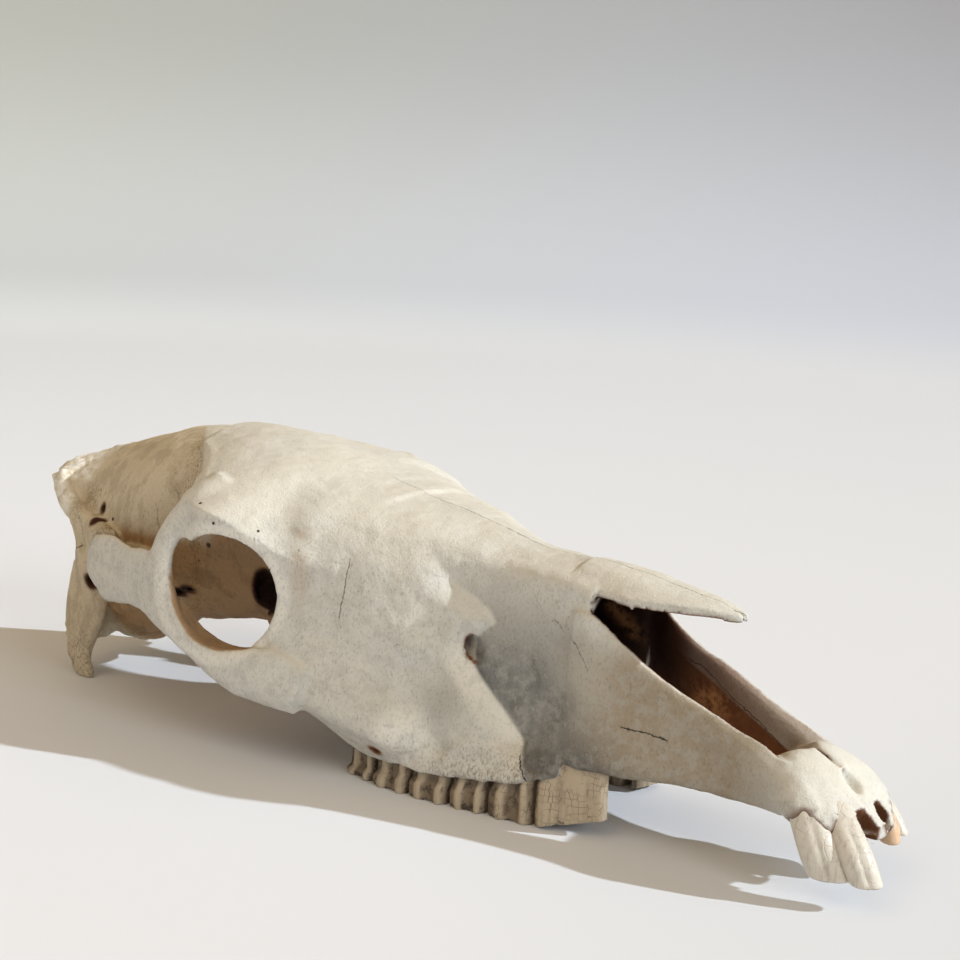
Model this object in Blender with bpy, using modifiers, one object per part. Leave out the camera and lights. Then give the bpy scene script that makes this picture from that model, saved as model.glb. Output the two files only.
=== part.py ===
"""Horse skull without its lower jaw, life size, lying on its cheek teeth and paracondylar tips.

Lengths are in millimetres in the tables and become metres when a mesh is made.
X runs from the nuchal crest to the muzzle, -Y is the skull's right side, Z is up from the floor.
"""

import math

import bmesh
import bpy
import numpy as np
from mathutils import Vector

# ---------------------------------------------------------------- driving dimensions (mm)
MM = 0.001
SKULL = "horse_skull"
X_MIDDLE = 263.3            # distance of the frame origin in front of the occipital face
SUTURE = 0.3                # gap left by every thin cut between two bones
FORM_VOXEL = 2.0            # grain of the merged form
FORM_TRIANGLES = 3850       # faces kept on the merged form before the teeth are added

RING = 28                   # points round a section
BALL = (18, 12)             # segments round and down an ellipsoid
REGION_WIDE = 150.0         # reach of a bone's volume to the side
REGION_LOW = -60.0          # and down
REGION_HIGH = 230.0         # and up
SHARP_ANGLE = 50            # degrees between faces past which an edge is shaded sharp
FEWEST_FACES = 100          # a bone with fewer has lost its form in a cut
BONE = (0.66, 0.62, 0.54, 1.0)
BRAIN_BONE = (0.56, 0.47, 0.34, 1.0)
MUZZLE_BONE = (0.72, 0.66, 0.54, 1.0)

# Braincase: x, half width, height of the widest point, top, bottom, top power, bottom power
BRAINCASE = [
    (-31, 17, 124, 129, 119, 2.2, 2.0),
    (-26, 32, 122, 131, 113, 2.1, 2.0),
    (-20, 38, 119, 133, 106, 2.0, 2.0),
    (-12, 40, 109, 136, 90, 1.9, 2.0),
    (-4, 40, 98, 139, 64, 1.8, 2.2),
    (4, 41, 90, 141, 38, 1.8, 2.2),
    (16, 44, 86, 144, 19, 1.8, 2.2),
    (32, 48, 88, 149, 16, 1.8, 2.1),
    (52, 52, 94, 154.5, 25, 1.9, 1.9),
    (76, 54, 101, 161, 38, 2.0, 1.8),
    (100, 52, 106, 165, 42.5, 2.1, 1.7),
    (126, 46, 111, 166.5, 48, 2.2, 1.7),
    (150, 42, 114, 166, 51, 2.3, 1.7),
    (176, 39, 114, 164, 54, 2.4, 1.8),
    (204, 38, 110, 157, 58, 2.4, 1.9),
    (236, 40, 104, 149, 60, 2.4, 2.0),
]

# Forehead roof with the bridges over the orbits: x, half width, middle, edge height, depth
FOREHEAD = [
    (112, 34, 166.5, 157, 10),
    (126, 44, 166.5, 154, 11),
    (140, 57, 166.0, 150, 13),
    (153, 74, 165.0, 144, 16),
    (166, 90, 163.5, 138, 20),
    (182, 98, 161.5, 136, 20),
    (198, 99, 159.0, 134, 18),
    (211, 95, 156.0, 129, 18),
    (224, 87, 152.5, 121, 20),
    (240, 79, 149.0, 113, 22),
    (258, 68, 146.0, 112, 22),
]

# Face, half sections from the dorsal midline down to the palate: x, nine (y, z) points
FACE = [
    (206, [(0, 152), (20, 151), (42, 146), (56, 135), (62, 116), (62, 98), (54, 84), (34, 76), (0, 74)]),
    (220, [(0, 152), (30, 150), (56, 143), (72, 130), (78, 112), (82, 92), (88, 60), (56, 46), (0, 54)]),
    (234, [(0, 150), (40, 147), (66, 136), (75, 119), (80, 97), (88, 60), (76, 38), (40, 42), (0, 50)]),
    (250, [(0, 147.5), (40, 143), (61, 130), (72, 109), (79, 83), (86, 48), (78, 34), (50, 26), (0, 44)]),
    (270, [(0, 144.5), (38, 138.5), (56, 124), (68, 101), (76, 71), (84, 40), (73, 27), (55, 18), (0, 42)]),
    (290, [(0, 141), (34, 135), (51, 119), (63, 94), (71, 64), (80.5, 36), (70, 24), (58, 16), (0, 41)]),
    (310, [(0, 136.5), (30, 130.5), (46, 113), (56, 89), (64, 61), (76.5, 33), (68, 23), (60, 16), (0, 41)]),
    (324, [(0, 134), (28, 128), (42, 109), (50, 85), (56, 61), (64, 42), (64, 28), (60, 17), (0, 42)]),
    (340, [(0, 131), (26, 125), (37, 106), (45, 83), (50.5, 61), (56.5, 43), (60, 30), (57, 18), (0, 43)]),
    (362, [(0, 129), (25.5, 123), (31.5, 105), (37.5, 82), (42.5, 60),
           (48, 42), (55, 30), (53, 21), (0, 45)]),
    (385, [(0, 128.3), (25, 121), (28.5, 107), (32.5, 84), (37.5, 60),
           (43, 44), (50, 32), (48, 25), (0, 47)]),
    (396, [(0, 128), (24, 119.5), (28.5, 109.5), (31.5, 84), (36, 60),
           (42, 45), (46, 35), (43, 29), (0, 48)]),
]

# Nasal roof in front of the notch: x, half width, middle height, edge height, thickness
NASAL = [
    (378, 24.0, 128.6, 120.0, 6.0),
    (396, 24.5, 128.0, 118.5, 5.5),
    (412, 24.0, 126.6, 117.8, 5.0),
    (427, 21.5, 124.0, 118.0, 4.6),
    (441, 16.5, 122.0, 118.3, 4.4),
    (453, 11.0, 120.3, 117.8, 4.2),
    (462, 6.5, 118.0, 116.5, 4.0),
    (467.5, 2.6, 116.5, 115.8, 3.2),
]

# Side wall of the muzzle: x, upper rim (y, z), lower edge (y, z), half thickness top, middle, bottom
MUZZLE_WALL = [
    (388, (29.5, 108), (38, 36), 2.4, 3.0, 4.6),
    (400, (29.0, 108), (42.5, 36), 3.6, 3.0, 5.0),
    (411, (26.5, 99.5), (43, 37), 3.8, 3.6, 5.0),
    (425, (25.0, 90.0), (39.5, 37), 3.8, 3.6, 5.0),
    (438, (23.5, 83.5), (35, 37.5), 3.8, 3.6, 4.6),
    (450, (22.0, 78.5), (30, 37.5), 4.0, 3.8, 4.4),
    (463, (21.0, 73.5), (26, 37), 4.0, 4.0, 4.4),
    (478, (20.5, 68.0), (24, 37), 4.2, 4.4, 4.8),
    (494, (20.5, 63.0), (24.5, 37.5), 5.0, 5.4, 5.4),
    (508, (22.0, 57.0), (26, 37), 6.0, 6.4, 6.0),
]

# Body that holds the front teeth: x, half width, widest height, top, bottom
MUZZLE_BODY = [
    (486, 19, 42, 48, 37),
    (497, 26, 44, 58, 34),
    (508, 32, 43, 62, 32),
    (520, 36, 40, 57, 30),
    (532, 32.5, 36, 49, 28.5),
    (541, 23, 32.5, 40, 27.5),
    (547.5, 12, 29.5, 33, 26.5),
]

# Cheek arch, swept from its root to the facial crest: centre (x, y, z), half height, half thickness
ARCH = [
    ((70, 74, 90), 12, 8),
    ((82, 83, 87), 17, 6.5),
    ((100, 88, 86.5), 19.5, 5.0),
    ((122, 92, 86.5), 16.8, 4.6),
    ((142, 96, 87), 18.5, 4.8),
    ((157, 98, 78), 15, 5.0),
    ((170, 98.5, 68), 9.0, 5.4),
    ((184, 98, 60), 8.0, 6.0),
    ((200, 96, 53), 9.5, 6.4),
    ((216, 94, 51), 13, 6.2),
    ((234, 90.5, 51), 16, 6.0),
    ((254, 85, 46), 13, 6.0),
]
# Bar behind the orbit, from the forehead down to the arch
ORBIT_BAR = [
    ((176, 72, 145), 9.5, 7.5),
    ((170, 84, 137), 9.5, 7.0),
    ((162, 92, 125), 8.5, 6.0),
    ((155, 96, 110), 8.0, 5.2),
    ((152, 97, 92), 9.0, 4.8),
]
# Ridge from the nuchal crest to the root of the arch
TEMPORAL_RIDGE = [
    ((-20, 36, 120), 8, 6),
    ((-6, 41, 108), 8, 6),
    ((16, 47, 99), 8, 6),
    ((40, 54, 95), 9, 7),
    ((58, 61, 92), 10, 8),
    ((76, 70, 88), 11, 7),
]
# Paracondylar process, root to tip: centre, half length along X, half thickness
PARACONDYLAR = [
    ((25, 44, 70), 17, 9),
    ((23.5, 48, 48), 18, 8),
    ((22.5, 50, 32), 16, 6.5),
    ((22, 51, 18), 12, 5.2),
    ((24, 51.5, 8), 9, 4.4),
    ((29, 51.5, 1.5), 7.5, 4.0),
    ((30, 51.5, -2.0), 7, 4.0),
]
LEFT_STUMP = 24.0            # the left paracondylar process is broken off at this height
# Inner side of the arch under the eye opening
SHELF = [
    ((158, 90, 78), 5, 5.0),
    ((168, 88.5, 69), 6, 8.0),
    ((184, 87, 60), 6, 9.5),
    ((204, 85, 55.5), 6, 9.5),
    ((224, 82, 56), 7, 8.0),
]
# Plate of the palatine and pterygoid bones beside the choana
PTERYGOID = [
    ((164, 20, 62), 7, 4.0),
    ((178, 24, 58), 12, 3.6),
    ((193, 26.5, 54), 17, 3.4),
    ((212, 27.5, 54), 17, 3.6),
    ((236, 29, 54), 18, 5.0),
    ((258, 31, 50), 20, 6.0),
]
HAMULUS = [((188, 26.5, 46), 4, 3), ((195, 27.5, 39), 3, 2.6), ((202, 28, 35), 2.4, 2.2)]

# Round masses: centre, radii
KNOBS = [
    ((8, 27, 40), (19, 16, 24)),        # occipital condyle
    ((34, 46, 78), (19, 13, 22)),       # mastoid swelling
    ((82, 66, 82), (20, 22, 13)),       # jaw socket under the arch root
    ((66, 62, 66), (6, 9, 9)),          # process behind the jaw socket
    ((96, 74, 71), (8, 15, 6)),         # ridge in front of the jaw socket
    ((246, 44, 48), (14, 15, 22)),      # swelling behind the last tooth
]

# Orbit as a funnel, rim to depth: y, centre x, centre z, half length, half height
ORBIT = [
    (118, 203, 93, 35, 31.5),
    (100, 200, 93, 33.5, 30.5),
    (88, 196, 92, 35.5, 32.5),
    (80, 193, 92, 36, 33),
    (62, 186, 91, 34, 31),
    (48, 181, 90, 26, 24),
    (41, 178, 89, 14, 14),
]
# Nasal cavity: x, half width, widest height, top, bottom
NASAL_CAVITY = [
    (300, 9, 92, 106, 74),
    (330, 16, 90, 114, 66),
    (365, 20, 88, 119, 58),
    (386, 22.5, 86, 120.5, 55),
    (402, 25.5, 84, 119, 53),
    (430, 18.5, 80, 116, 50),
    (460, 16.5, 72, 112, 48),
    (484, 15.5, 66, 96, 47),
    (499, 13.5, 66, 90, 52),
    (508, 7, 70, 90, 60),
]
# Opening between the tooth rows: x, half width, widest height, top, bottom
PALATE_VAULT = [
    (284, 16, 22, 33, -40),
    (300, 27, 20, 39, -40),
    (330, 30, 20, 41, -40),
    (365, 27, 22, 42, -40),
    (400, 24, 26, 43, -40),
    (430, 24, 30, 43, -40),
    (470, 16, 32, 43, -40),
    (505, 12, 24, 37, -40),
]
CHOANA = [
    (150, 14, 40, 52, -40),
    (176, 17, 46, 60, -40),
    (206, 20, 50, 68, -40),
    (240, 21, 50, 68, -40),
    (270, 20, 44, 60, -40),
    (292, 12, 36, 48, -40),
]
# Round openings: centre, radii
HOLLOWS = [
    ((-6, 0, 57), (36, 17, 16)),        # foramen magnum
    ((529, 0, 51), (7, 4, 9)),          # canal between the front teeth sockets
    ((-16, 19, 98), (9, 13, 15)),       # neck muscle hollow, right
    ((-16, -19, 98), (9, 13, 15)),      # neck muscle hollow, left
    ((345, 49, 75), (9, 6, 8)),         # opening under the eye, right
    ((345, -49, 75), (9, 6, 8)),
    ((186, 45, 74), (10, 10, 12)),      # passage at the front of the orbit
    ((186, -45, 74), (10, 10, 12)),
]

# Cheek teeth: x of the back, x of the front, outer y back and front, gum height back and front
CHEEK_TEETH = [
    ("M3", 263, 284.5, 59, 64.5, 13, 15),
    ("M2", 286.5, 310, 65, 65.5, 15, 17),
    ("M1", 312, 334.5, 65, 62, 17, 17),
    ("P4", 336.5, 356.5, 61.5, 56.5, 17, 21),
    ("P3", 358.5, 383, 56, 51.5, 21, 27),
    ("P2", 385, 420, 51, 38.5, 27, 36),
]
TOOTH_DEPTH = 23.0
TOOTH_ROOT = 9.0             # height of a cheek tooth above its gum, inside the bone
TOOTH_BEVEL = 1.0            # how far the inner face ends short of the outer one
POINTED_DEPTH = 0.8          # depth of the pointed second premolar, as a share
POINTED_BEVEL = 16.0         # how far its inner face ends short of its front
# Outer face of a cheek tooth, two ribs and the grooves beside them: share of its length, inset
TOOTH_FACE = [(0.0, 2.0), (0.12, 0.0), (0.32, 1.8), (0.52, 0.0), (0.74, 1.8), (0.92, 0.0), (1.0, 2.0)]
LEFT_P2_FRONT = 396.0        # the left second premolar is broken short
P2_LIFT = 9.4                # worn edge of the second premolar above the floor, at its front

# Front teeth: name, side, direction of the width, then rows of (centre, half width, half thickness)
# from the socket to the worn edge
FRONT_TEETH = [
    ("I3", -1, (0.84, -0.54, 0), [
        ((511, 17, 52), 5.5, 4.5),
        ((520.5, 27.5, 42.5), 7.4, 6.0),
        ((532, 31.5, 26), 9.0, 6.2),
        ((538.2, 31, 14.5), 8.8, 5.0),
    ]),
    ("I2", -1, (0.67, -0.74, 0), [
        ((522, 12, 46), 5.2, 4.4),
        ((532.7, 18, 39.3), 7.4, 5.3),
        ((546.5, 24.2, 25.5), 7.8, 5.6),
        ((553.2, 24.8, 14), 7.2, 4.8),
    ]),
    ("I3", 1, (0.84, -0.54, 0), [
        ((511, 19, 50), 6.0, 5.0),
        ((525, 24, 40), 7.4, 5.6),
        ((535.5, 25, 31), 8.0, 5.6),
        ((541, 24.5, 24), 7.8, 4.8),
    ]),
    ("I2", 1, (0.67, -0.74, 0), [
        ((523, 12, 46), 5.6, 5.0),
        ((533, 15.5, 36), 6.6, 5.4),
        ((540.5, 17, 28), 7.0, 5.8),
        ((543, 16.5, 21.5), 6.6, 5.2),
    ]),
]
# What is cut off below the floor and off the left paracondylar process: side view (x, z)
BELOW_FLOOR = [(-80, -90), (620, -90), (620, 0), (-80, 0)]
BROKEN_OFF = [(-10, -20), (60, -20), (60, LEFT_STUMP - 4), (22, LEFT_STUMP + 3), (-10, LEFT_STUMP)]
BROKEN_FROM = 36             # nearest and furthest y of the broken process
BROKEN_TO = 70
# Empty sockets of the middle front teeth: centre, radii
SOCKETS = [((545, -9, 34), (8, 5, 8)), ((543.5, 6.5, 35), (6.5, 3.8, 7))]

# Outlines that part one bone from the next: side view (x, z) and top view (x, y)
ZYGOMATIC_TOP = [(118, 66), (160, 66), (206, 70), (236, 75), (268, 66), (276, 120), (104, 120)]
ZYGOMATIC_SIDE = [(119, 120), (140, 112), (178, 101), (221, 101), (246, 84), (272, 52), (272, 10), (110, 10)]
NASAL_TOP = [(258, 0), (258, 3), (290, 18), (330, 26), (402, 26.5), (432, 40), (500, 40), (500, 0)]
NASAL_SIDE = [(250, 134), (290, 129), (330, 120), (384, 112), (500, 104), (500, 220), (250, 220)]
PREMAXILLA_SIDE = [(394, 113), (404, 103), (420, 80), (436, 54), (448, 30), (448, -50), (620, -50),
                   (620, 113)]
PALATINE_SIDE = [(120, 64), (224, 64), (250, 57), (262, 40), (262, -50), (120, -50)]
PALATINE_TOP = [(120, 0), (120, 36), (262, 36), (272, 0)]
FRONTAL_SIDE = [(104, 220), (110, 160), (122, 150), (128, 132), (137, 100), (240, 96), (262, 220)]
FACE_SIDE = [(256, 220), (244, 150), (234, 122), (224, 96), (206, 76), (206, -50), (460, -50), (460, 220)]


# ---------------------------------------------------------------- shapes
def spline(values, steps):
    """Smooth curve (Catmull-Rom) through rows of values, with steps samples in each interval."""
    rows = np.asarray(values, float)
    padded = np.concatenate([2 * rows[:1] - rows[1:2], rows, 2 * rows[-1:] - rows[-2:-1]])
    t = np.linspace(0.0, 1.0, steps, endpoint=False)[:, None]
    parts = []
    for a, b, c, d in zip(padded[:-3], padded[1:-2], padded[2:-1], padded[3:]):
        a, b, c, d = (v.reshape(1, -1) for v in (a, b, c, d))
        parts.append(0.5 * (2 * b + (c - a) * t + (2 * a - 5 * b + 4 * c - d) * t ** 2
                            + (3 * b - a - 3 * c + d) * t ** 3))
    return np.concatenate(parts + [rows[-1:].reshape(1, -1)])


def oval(half_width, widest, top, bottom, power_top=2.0, power_bottom=2.0, count=RING):
    """Egg-shaped ring of (y, z) points, with its own power above and below its widest height."""
    angle = np.linspace(0.0, 2 * math.pi, count, endpoint=False)
    c, s = np.cos(angle), np.sin(angle)
    power = np.where(s >= 0, power_top, power_bottom)
    reach = np.where(s >= 0, top - widest, widest - bottom)
    y = half_width * np.sign(c) * np.abs(c) ** (2 / power)
    z = widest + reach * np.sign(s) * np.abs(s) ** (2 / power)
    return np.stack([y, z], axis=1)


def mesh_object(name, rings, side=1):
    """Closed mesh through rings of points (mm), capped at both ends, mirrored where side is -1."""
    rings = np.asarray(rings, float) * (MM, MM * side, MM)
    mesh = bmesh.new()
    grid = [[mesh.verts.new(point) for point in ring] for ring in rings]
    count = len(grid[0])
    for near, far in zip(grid, grid[1:]):
        for i in range(count):
            j = (i + 1) % count
            mesh.faces.new((near[i], near[j], far[j], far[i]))
    for ring in (grid[0], grid[-1]):
        centre = mesh.verts.new(sum((v.co for v in ring), Vector()) / count)
        for i in range(count):
            mesh.faces.new((ring[i], ring[(i + 1) % count], centre))
    bmesh.ops.recalc_face_normals(mesh, faces=mesh.faces)
    data = bpy.data.meshes.new(name)
    mesh.to_mesh(data)
    mesh.free()
    thing = bpy.data.objects.new(name, data)
    bpy.context.scene.collection.objects.link(thing)
    return thing


def along_x(name, table, section, steps=3):
    """Body through sections square to X; section turns one smoothed row into a ring of (y, z)."""
    rings = []
    for row in spline(table, steps):
        ring = section(row[1:])
        rings.append(np.column_stack([np.full(len(ring), row[0]), ring]))
    return mesh_object(name, rings)


def roof_section(row, count=14):
    """Ring of a roof: upper side z falling with the third power of y, under side a depth below."""
    half_width, middle, edge, depth = row
    y = half_width * np.sin(np.linspace(-math.pi / 2, math.pi / 2, count))
    upper = middle - (middle - edge) * np.abs(y / half_width) ** 2.6
    lower = upper - depth
    return np.concatenate([np.column_stack([y, upper]), np.column_stack([y, lower])[::-1]])


def face_section(row):
    """Closed ring through nine points of a half section and their mirror images."""
    half = spline(np.asarray(row).reshape(9, 2), 2)
    return np.concatenate([half, (half * (-1, 1))[-2:0:-1]])


def swept(name, table, side, across=(0, 0, 1), steps=3, count=14):
    """Oval profile carried along a path: half sizes are across the given direction and square to it."""
    rows = spline([(*centre, high, thick) for centre, high, thick in table], steps)
    path, high, thick = rows[:, :3], rows[:, 3:4], rows[:, 4:5]
    tangent = np.gradient(path, axis=0)
    tangent /= np.linalg.norm(tangent, axis=1, keepdims=True)
    up = np.asarray(across, float) - tangent * (tangent @ np.asarray(across, float))[:, None]
    up /= np.linalg.norm(up, axis=1, keepdims=True)
    out = np.cross(tangent, up)
    angle = np.linspace(0, 2 * math.pi, count, endpoint=False)[None, :, None]
    rings = path[:, None] + up[:, None] * high[:, None] * np.cos(angle) \
        + out[:, None] * thick[:, None] * np.sin(angle)
    return mesh_object(name, rings, side)


def knob(name, centre, radii, side=1):
    """Ellipsoid from a UV sphere."""
    mesh = bmesh.new()
    bmesh.ops.create_uvsphere(mesh, u_segments=BALL[0], v_segments=BALL[1], radius=1.0)
    bmesh.ops.scale(mesh, verts=mesh.verts, vec=Vector(radii) * MM)
    bmesh.ops.translate(mesh, verts=mesh.verts, vec=Vector((centre[0], centre[1] * side, centre[2])) * MM)
    data = bpy.data.meshes.new(name)
    mesh.to_mesh(data)
    mesh.free()
    thing = bpy.data.objects.new(name, data)
    bpy.context.scene.collection.objects.link(thing)
    return thing


def muzzle_wall(side):
    """Side wall of the muzzle: eight-point ring between its rim and its lower edge."""
    flat = [(x, *top, *low, a, b, c) for x, top, low, a, b, c in MUZZLE_WALL]
    rings = []
    for x, ty, tz, ly, lz, top, middle, low in spline(flat, 3):
        my, mz = (ty * 0.6 + ly * 0.4), (tz + lz) / 2
        ring = [(ty, tz), (ty + top, tz - top), (my + middle, mz), (ly + low * 0.4, lz + low),
                (ly, lz - 3), (ly - low * 1.4, lz), (my - middle, mz), (ty - top, tz - top)]
        ring = spline(ring + ring[:1], 2)[:-1]
        rings.append(np.column_stack([np.full(len(ring), x), ring]))
    return mesh_object("muzzle_wall", rings, side)


def join(name, things):
    """Make one object from several, as separate overlapping bodies."""
    mesh = bmesh.new()
    for thing in things:
        mesh.from_mesh(thing.data)
        bpy.data.objects.remove(thing)
    data = bpy.data.meshes.new(name)
    mesh.to_mesh(data)
    mesh.free()
    whole = bpy.data.objects.new(name, data)
    bpy.context.scene.collection.objects.link(whole)
    return whole


def bake(thing):
    """Replace an object's mesh by the mesh its modifiers give."""
    graph = bpy.context.evaluated_depsgraph_get()
    graph.update()
    data = bpy.data.meshes.new_from_object(thing.evaluated_get(graph))
    thing.modifiers.clear()
    thing.data = data
    return thing


def merged(thing, voxel):
    """One skin round overlapping bodies, eased with a smoothing pass."""
    remesh = thing.modifiers.new("one skin", "REMESH")
    remesh.mode = "VOXEL"
    remesh.voxel_size = voxel * MM
    ease = thing.modifiers.new("ease", "SMOOTH")
    ease.factor = 0.5
    ease.iterations = 4
    return bake(thing)


def thinned(thing, triangles):
    """Fewer faces on the same form."""
    thing.data.calc_loop_triangles()
    thin = thing.modifiers.new("thin", "DECIMATE")
    thin.ratio = triangles / len(thing.data.loop_triangles)
    thin.use_collapse_triangulate = True
    return bake(thing)


def combine(thing, tool, operation):
    """Boolean of one object with another, which is used up."""
    step = thing.modifiers.new(operation.lower(), "BOOLEAN")
    step.operation = operation
    step.solver = "EXACT"
    step.use_hole_tolerant = True
    step.use_self = True
    step.object = tool
    bake(thing)
    bpy.data.objects.remove(tool)
    return thing


# ---------------------------------------------------------------- the skull's forms
def bone_forms():
    """Every bone mass of the skull as closed overlapping bodies."""
    forms = [
        along_x("braincase", BRAINCASE, lambda row: oval(*row)),
        along_x("forehead", FOREHEAD, roof_section),
        along_x("nasal_roof", NASAL, roof_section),
        along_x("muzzle_body", MUZZLE_BODY, lambda row: oval(*row, 2.0, 2.4)),
    ]
    face = [(x, *np.ravel(points)) for x, points in FACE]
    forms.append(along_x("face", face, face_section))
    for side in (-1, 1):
        forms.append(muzzle_wall(side))
        forms.append(swept("arch", ARCH, side))
        forms.append(swept("shelf", SHELF, side))
        forms.append(swept("orbit_bar", ORBIT_BAR, side, across=(1, 0, 0.4)))
        forms.append(swept("temporal_ridge", TEMPORAL_RIDGE, side))
        forms.append(swept("paracondylar", PARACONDYLAR, side, across=(1, 0, 0)))
        forms.append(swept("pterygoid", PTERYGOID, side))
        forms.append(swept("hamulus", HAMULUS, side, across=(0, 1, 0)))
        forms += [knob("knob", centre, radii, side) for centre, radii in KNOBS]
    return forms


def openings():
    """Every hollow of the skull as closed overlapping bodies."""
    cavities = []
    for table in (NASAL_CAVITY, PALATE_VAULT, CHOANA):
        cavities.append(along_x("cavity", table, lambda row: oval(*row, 2.2, 2.2)))
    for side in (-1, 1):
        rings = []
        for y, x, z, length, height in spline(ORBIT, 3):
            ring = oval(length, 0, height, -height)
            rings.append(np.column_stack([x + ring[:, 0], np.full(len(ring), y), z + ring[:, 1]]))
        cavities.append(mesh_object("orbit", rings, side))
    cavities += [knob("hollow", centre, radii) for centre, radii in HOLLOWS]
    return cavities


def cheek_tooth(side, back, front, y_back, y_front, gum_back, gum_front, worn=0.0, pointed=False):
    """Grinding tooth with ribs on its outer face, standing on the floor."""
    length = front - back
    ring = [(back + t * length, y_back + t * (y_front - y_back) - inset) for t, inset in TOOTH_FACE]
    inner = TOOTH_DEPTH * (POINTED_DEPTH if pointed else 1.0)
    bevel = POINTED_BEVEL if pointed else TOOTH_BEVEL
    ring += [(front - bevel, y_front - inner), (back + TOOTH_BEVEL, y_back - inner)]
    ring = np.array(ring)
    top = gum_back + (ring[:, 0] - back) / length * (gum_front - gum_back) + TOOTH_ROOT
    foot = worn * np.clip((ring[:, 0] - back) / length, 0, 1)
    rings = [np.column_stack([ring, foot]), np.column_stack([ring, top])]
    return mesh_object("cheek_tooth", rings, side)


def teeth():
    """Cheek teeth and front teeth, each rooted inside its bone."""
    made = []
    for side in (-1, 1):
        for name, back, front, y_back, y_front, gum_back, gum_front in CHEEK_TEETH:
            worn = P2_LIFT if name == "P2" else 0.0
            pointed = name == "P2" and side < 0
            if name == "P2" and side > 0:
                y_front = y_back + (y_front - y_back) * (LEFT_P2_FRONT - back) / (front - back)
                front = LEFT_P2_FRONT
            made.append(cheek_tooth(side, back, front, y_back, y_front, gum_back, gum_front, worn, pointed))
    for _, side, across, rows in FRONT_TEETH:
        made.append(swept("front_tooth", rows, side, across=across, steps=2, count=8))
    return made


def grown(outline, amount):
    """Closed outline moved outwards by an amount at every side."""
    points = np.asarray(outline, float)
    ahead = np.roll(points, -1, axis=0) - points
    turn = np.sign(np.sum(points[:, 0] * ahead[:, 1] - points[:, 1] * ahead[:, 0]))
    normal = np.column_stack([ahead[:, 1], -ahead[:, 0]]) / np.linalg.norm(ahead, axis=1, keepdims=True)
    last = np.roll(normal, 1, axis=0)
    corner = (normal + last) / (1 + np.sum(normal * last, axis=1, keepdims=True))
    return points + corner * turn * amount


def block(view, outline, low, high, extra=0.0):
    """Prism on a side-view (x, z) or top-view (x, y) outline, carried from low to high."""
    outline = grown(outline, extra)
    mesh = bmesh.new()
    ends = []
    for level in (low - extra, high + extra):
        if view == "side":
            ring = [(x, level, z) for x, z in outline]
        else:
            ring = [(x, y, level) for x, y in outline]
        ends.append([mesh.verts.new(Vector(point) * MM) for point in ring])
        mesh.faces.new(ends[-1])
    count = len(outline)
    for i in range(count):
        j = (i + 1) % count
        mesh.faces.new((ends[0][i], ends[0][j], ends[1][j], ends[1][i]))
    bmesh.ops.triangulate(mesh, faces=mesh.faces)
    bmesh.ops.recalc_face_normals(mesh, faces=mesh.faces)
    data = bpy.data.meshes.new("block")
    mesh.to_mesh(data)
    mesh.free()
    thing = bpy.data.objects.new("block", data)
    bpy.context.scene.collection.objects.link(thing)
    return thing


def region(extra, side, side_view=None, top_view=None):
    """Volume of one bone: inside a side-view outline, a top-view outline and one half of the skull."""
    made = []
    if side_view is not None:
        made.append(block("side", side_view, 0, REGION_WIDE, extra))
    if top_view is not None:
        made.append(block("top", top_view, REGION_LOW, REGION_HIGH, extra))
    if len(made) == 2:
        combine(made[0], made[1], "INTERSECT")
    volume = made[0]
    if side < 0:
        volume.data.transform(((1, 0, 0, 0), (0, -1, 0, 0), (0, 0, 1, 0), (0, 0, 0, 1)))
        volume.data.flip_normals()
    return volume


def copy_of(thing, name):
    """Second object with a mesh of its own."""
    twin = bpy.data.objects.new(name, thing.data.copy())
    bpy.context.scene.collection.objects.link(twin)
    return twin


def part_off(whole, name, side, **outlines):
    """Take one bone off the whole with a thin gap round it; both keep their largest body."""
    piece = copy_of(whole, name)
    combine(piece, region(0.0, side, **outlines), "INTERSECT")
    combine(whole, region(SUTURE, side, **outlines), "DIFFERENCE")
    keep_largest(piece)
    keep_largest(whole)
    return piece


def keep_largest(thing):
    """Drop loose chips, so that one closed body is left."""
    whole = bmesh.new()
    whole.from_mesh(thing.data)
    whole.faces.ensure_lookup_table()
    seen = set()
    bodies = []
    for start in whole.faces:
        if start.index in seen:
            continue
        stack, body = [start], []
        seen.add(start.index)
        while stack:
            face = stack.pop()
            body.append(face)
            for other in (f for edge in face.edges for f in edge.link_faces):
                if other.index not in seen:
                    seen.add(other.index)
                    stack.append(other)
        bodies.append(body)
    bodies.sort(key=len)
    chips = [face for body in bodies[:-1] for face in body]
    if chips:
        print(thing.name, "drops", len(bodies) - 1, "chips of", len(chips), "faces")
        bmesh.ops.delete(whole, geom=chips, context="FACES")
        whole.to_mesh(thing.data)
    whole.free()


def finish(thing, collection, color):
    """Name, colour and shade one bone, and move it to the object's frame."""
    for old in thing.users_collection:
        old.objects.unlink(thing)
    collection.objects.link(thing)
    mesh = bmesh.new()
    mesh.from_mesh(thing.data)
    bmesh.ops.triangulate(mesh, faces=mesh.faces)
    bmesh.ops.translate(mesh, verts=mesh.verts, vec=(-X_MIDDLE * MM, 0, 0))
    mesh.to_mesh(thing.data)
    mesh.free()
    surface = bpy.data.materials.new(thing.name)
    surface.use_nodes = True
    shader = surface.node_tree.nodes["Principled BSDF"]
    shader.inputs["Base Color"].default_value = color
    shader.inputs["Roughness"].default_value = 0.75
    thing.data.materials.clear()
    thing.data.materials.append(surface)
    thing.data.shade_smooth()
    thing.data.set_sharp_from_angle(angle=math.radians(SHARP_ANGLE))
    print(thing.name, len(thing.data.polygons))


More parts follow.
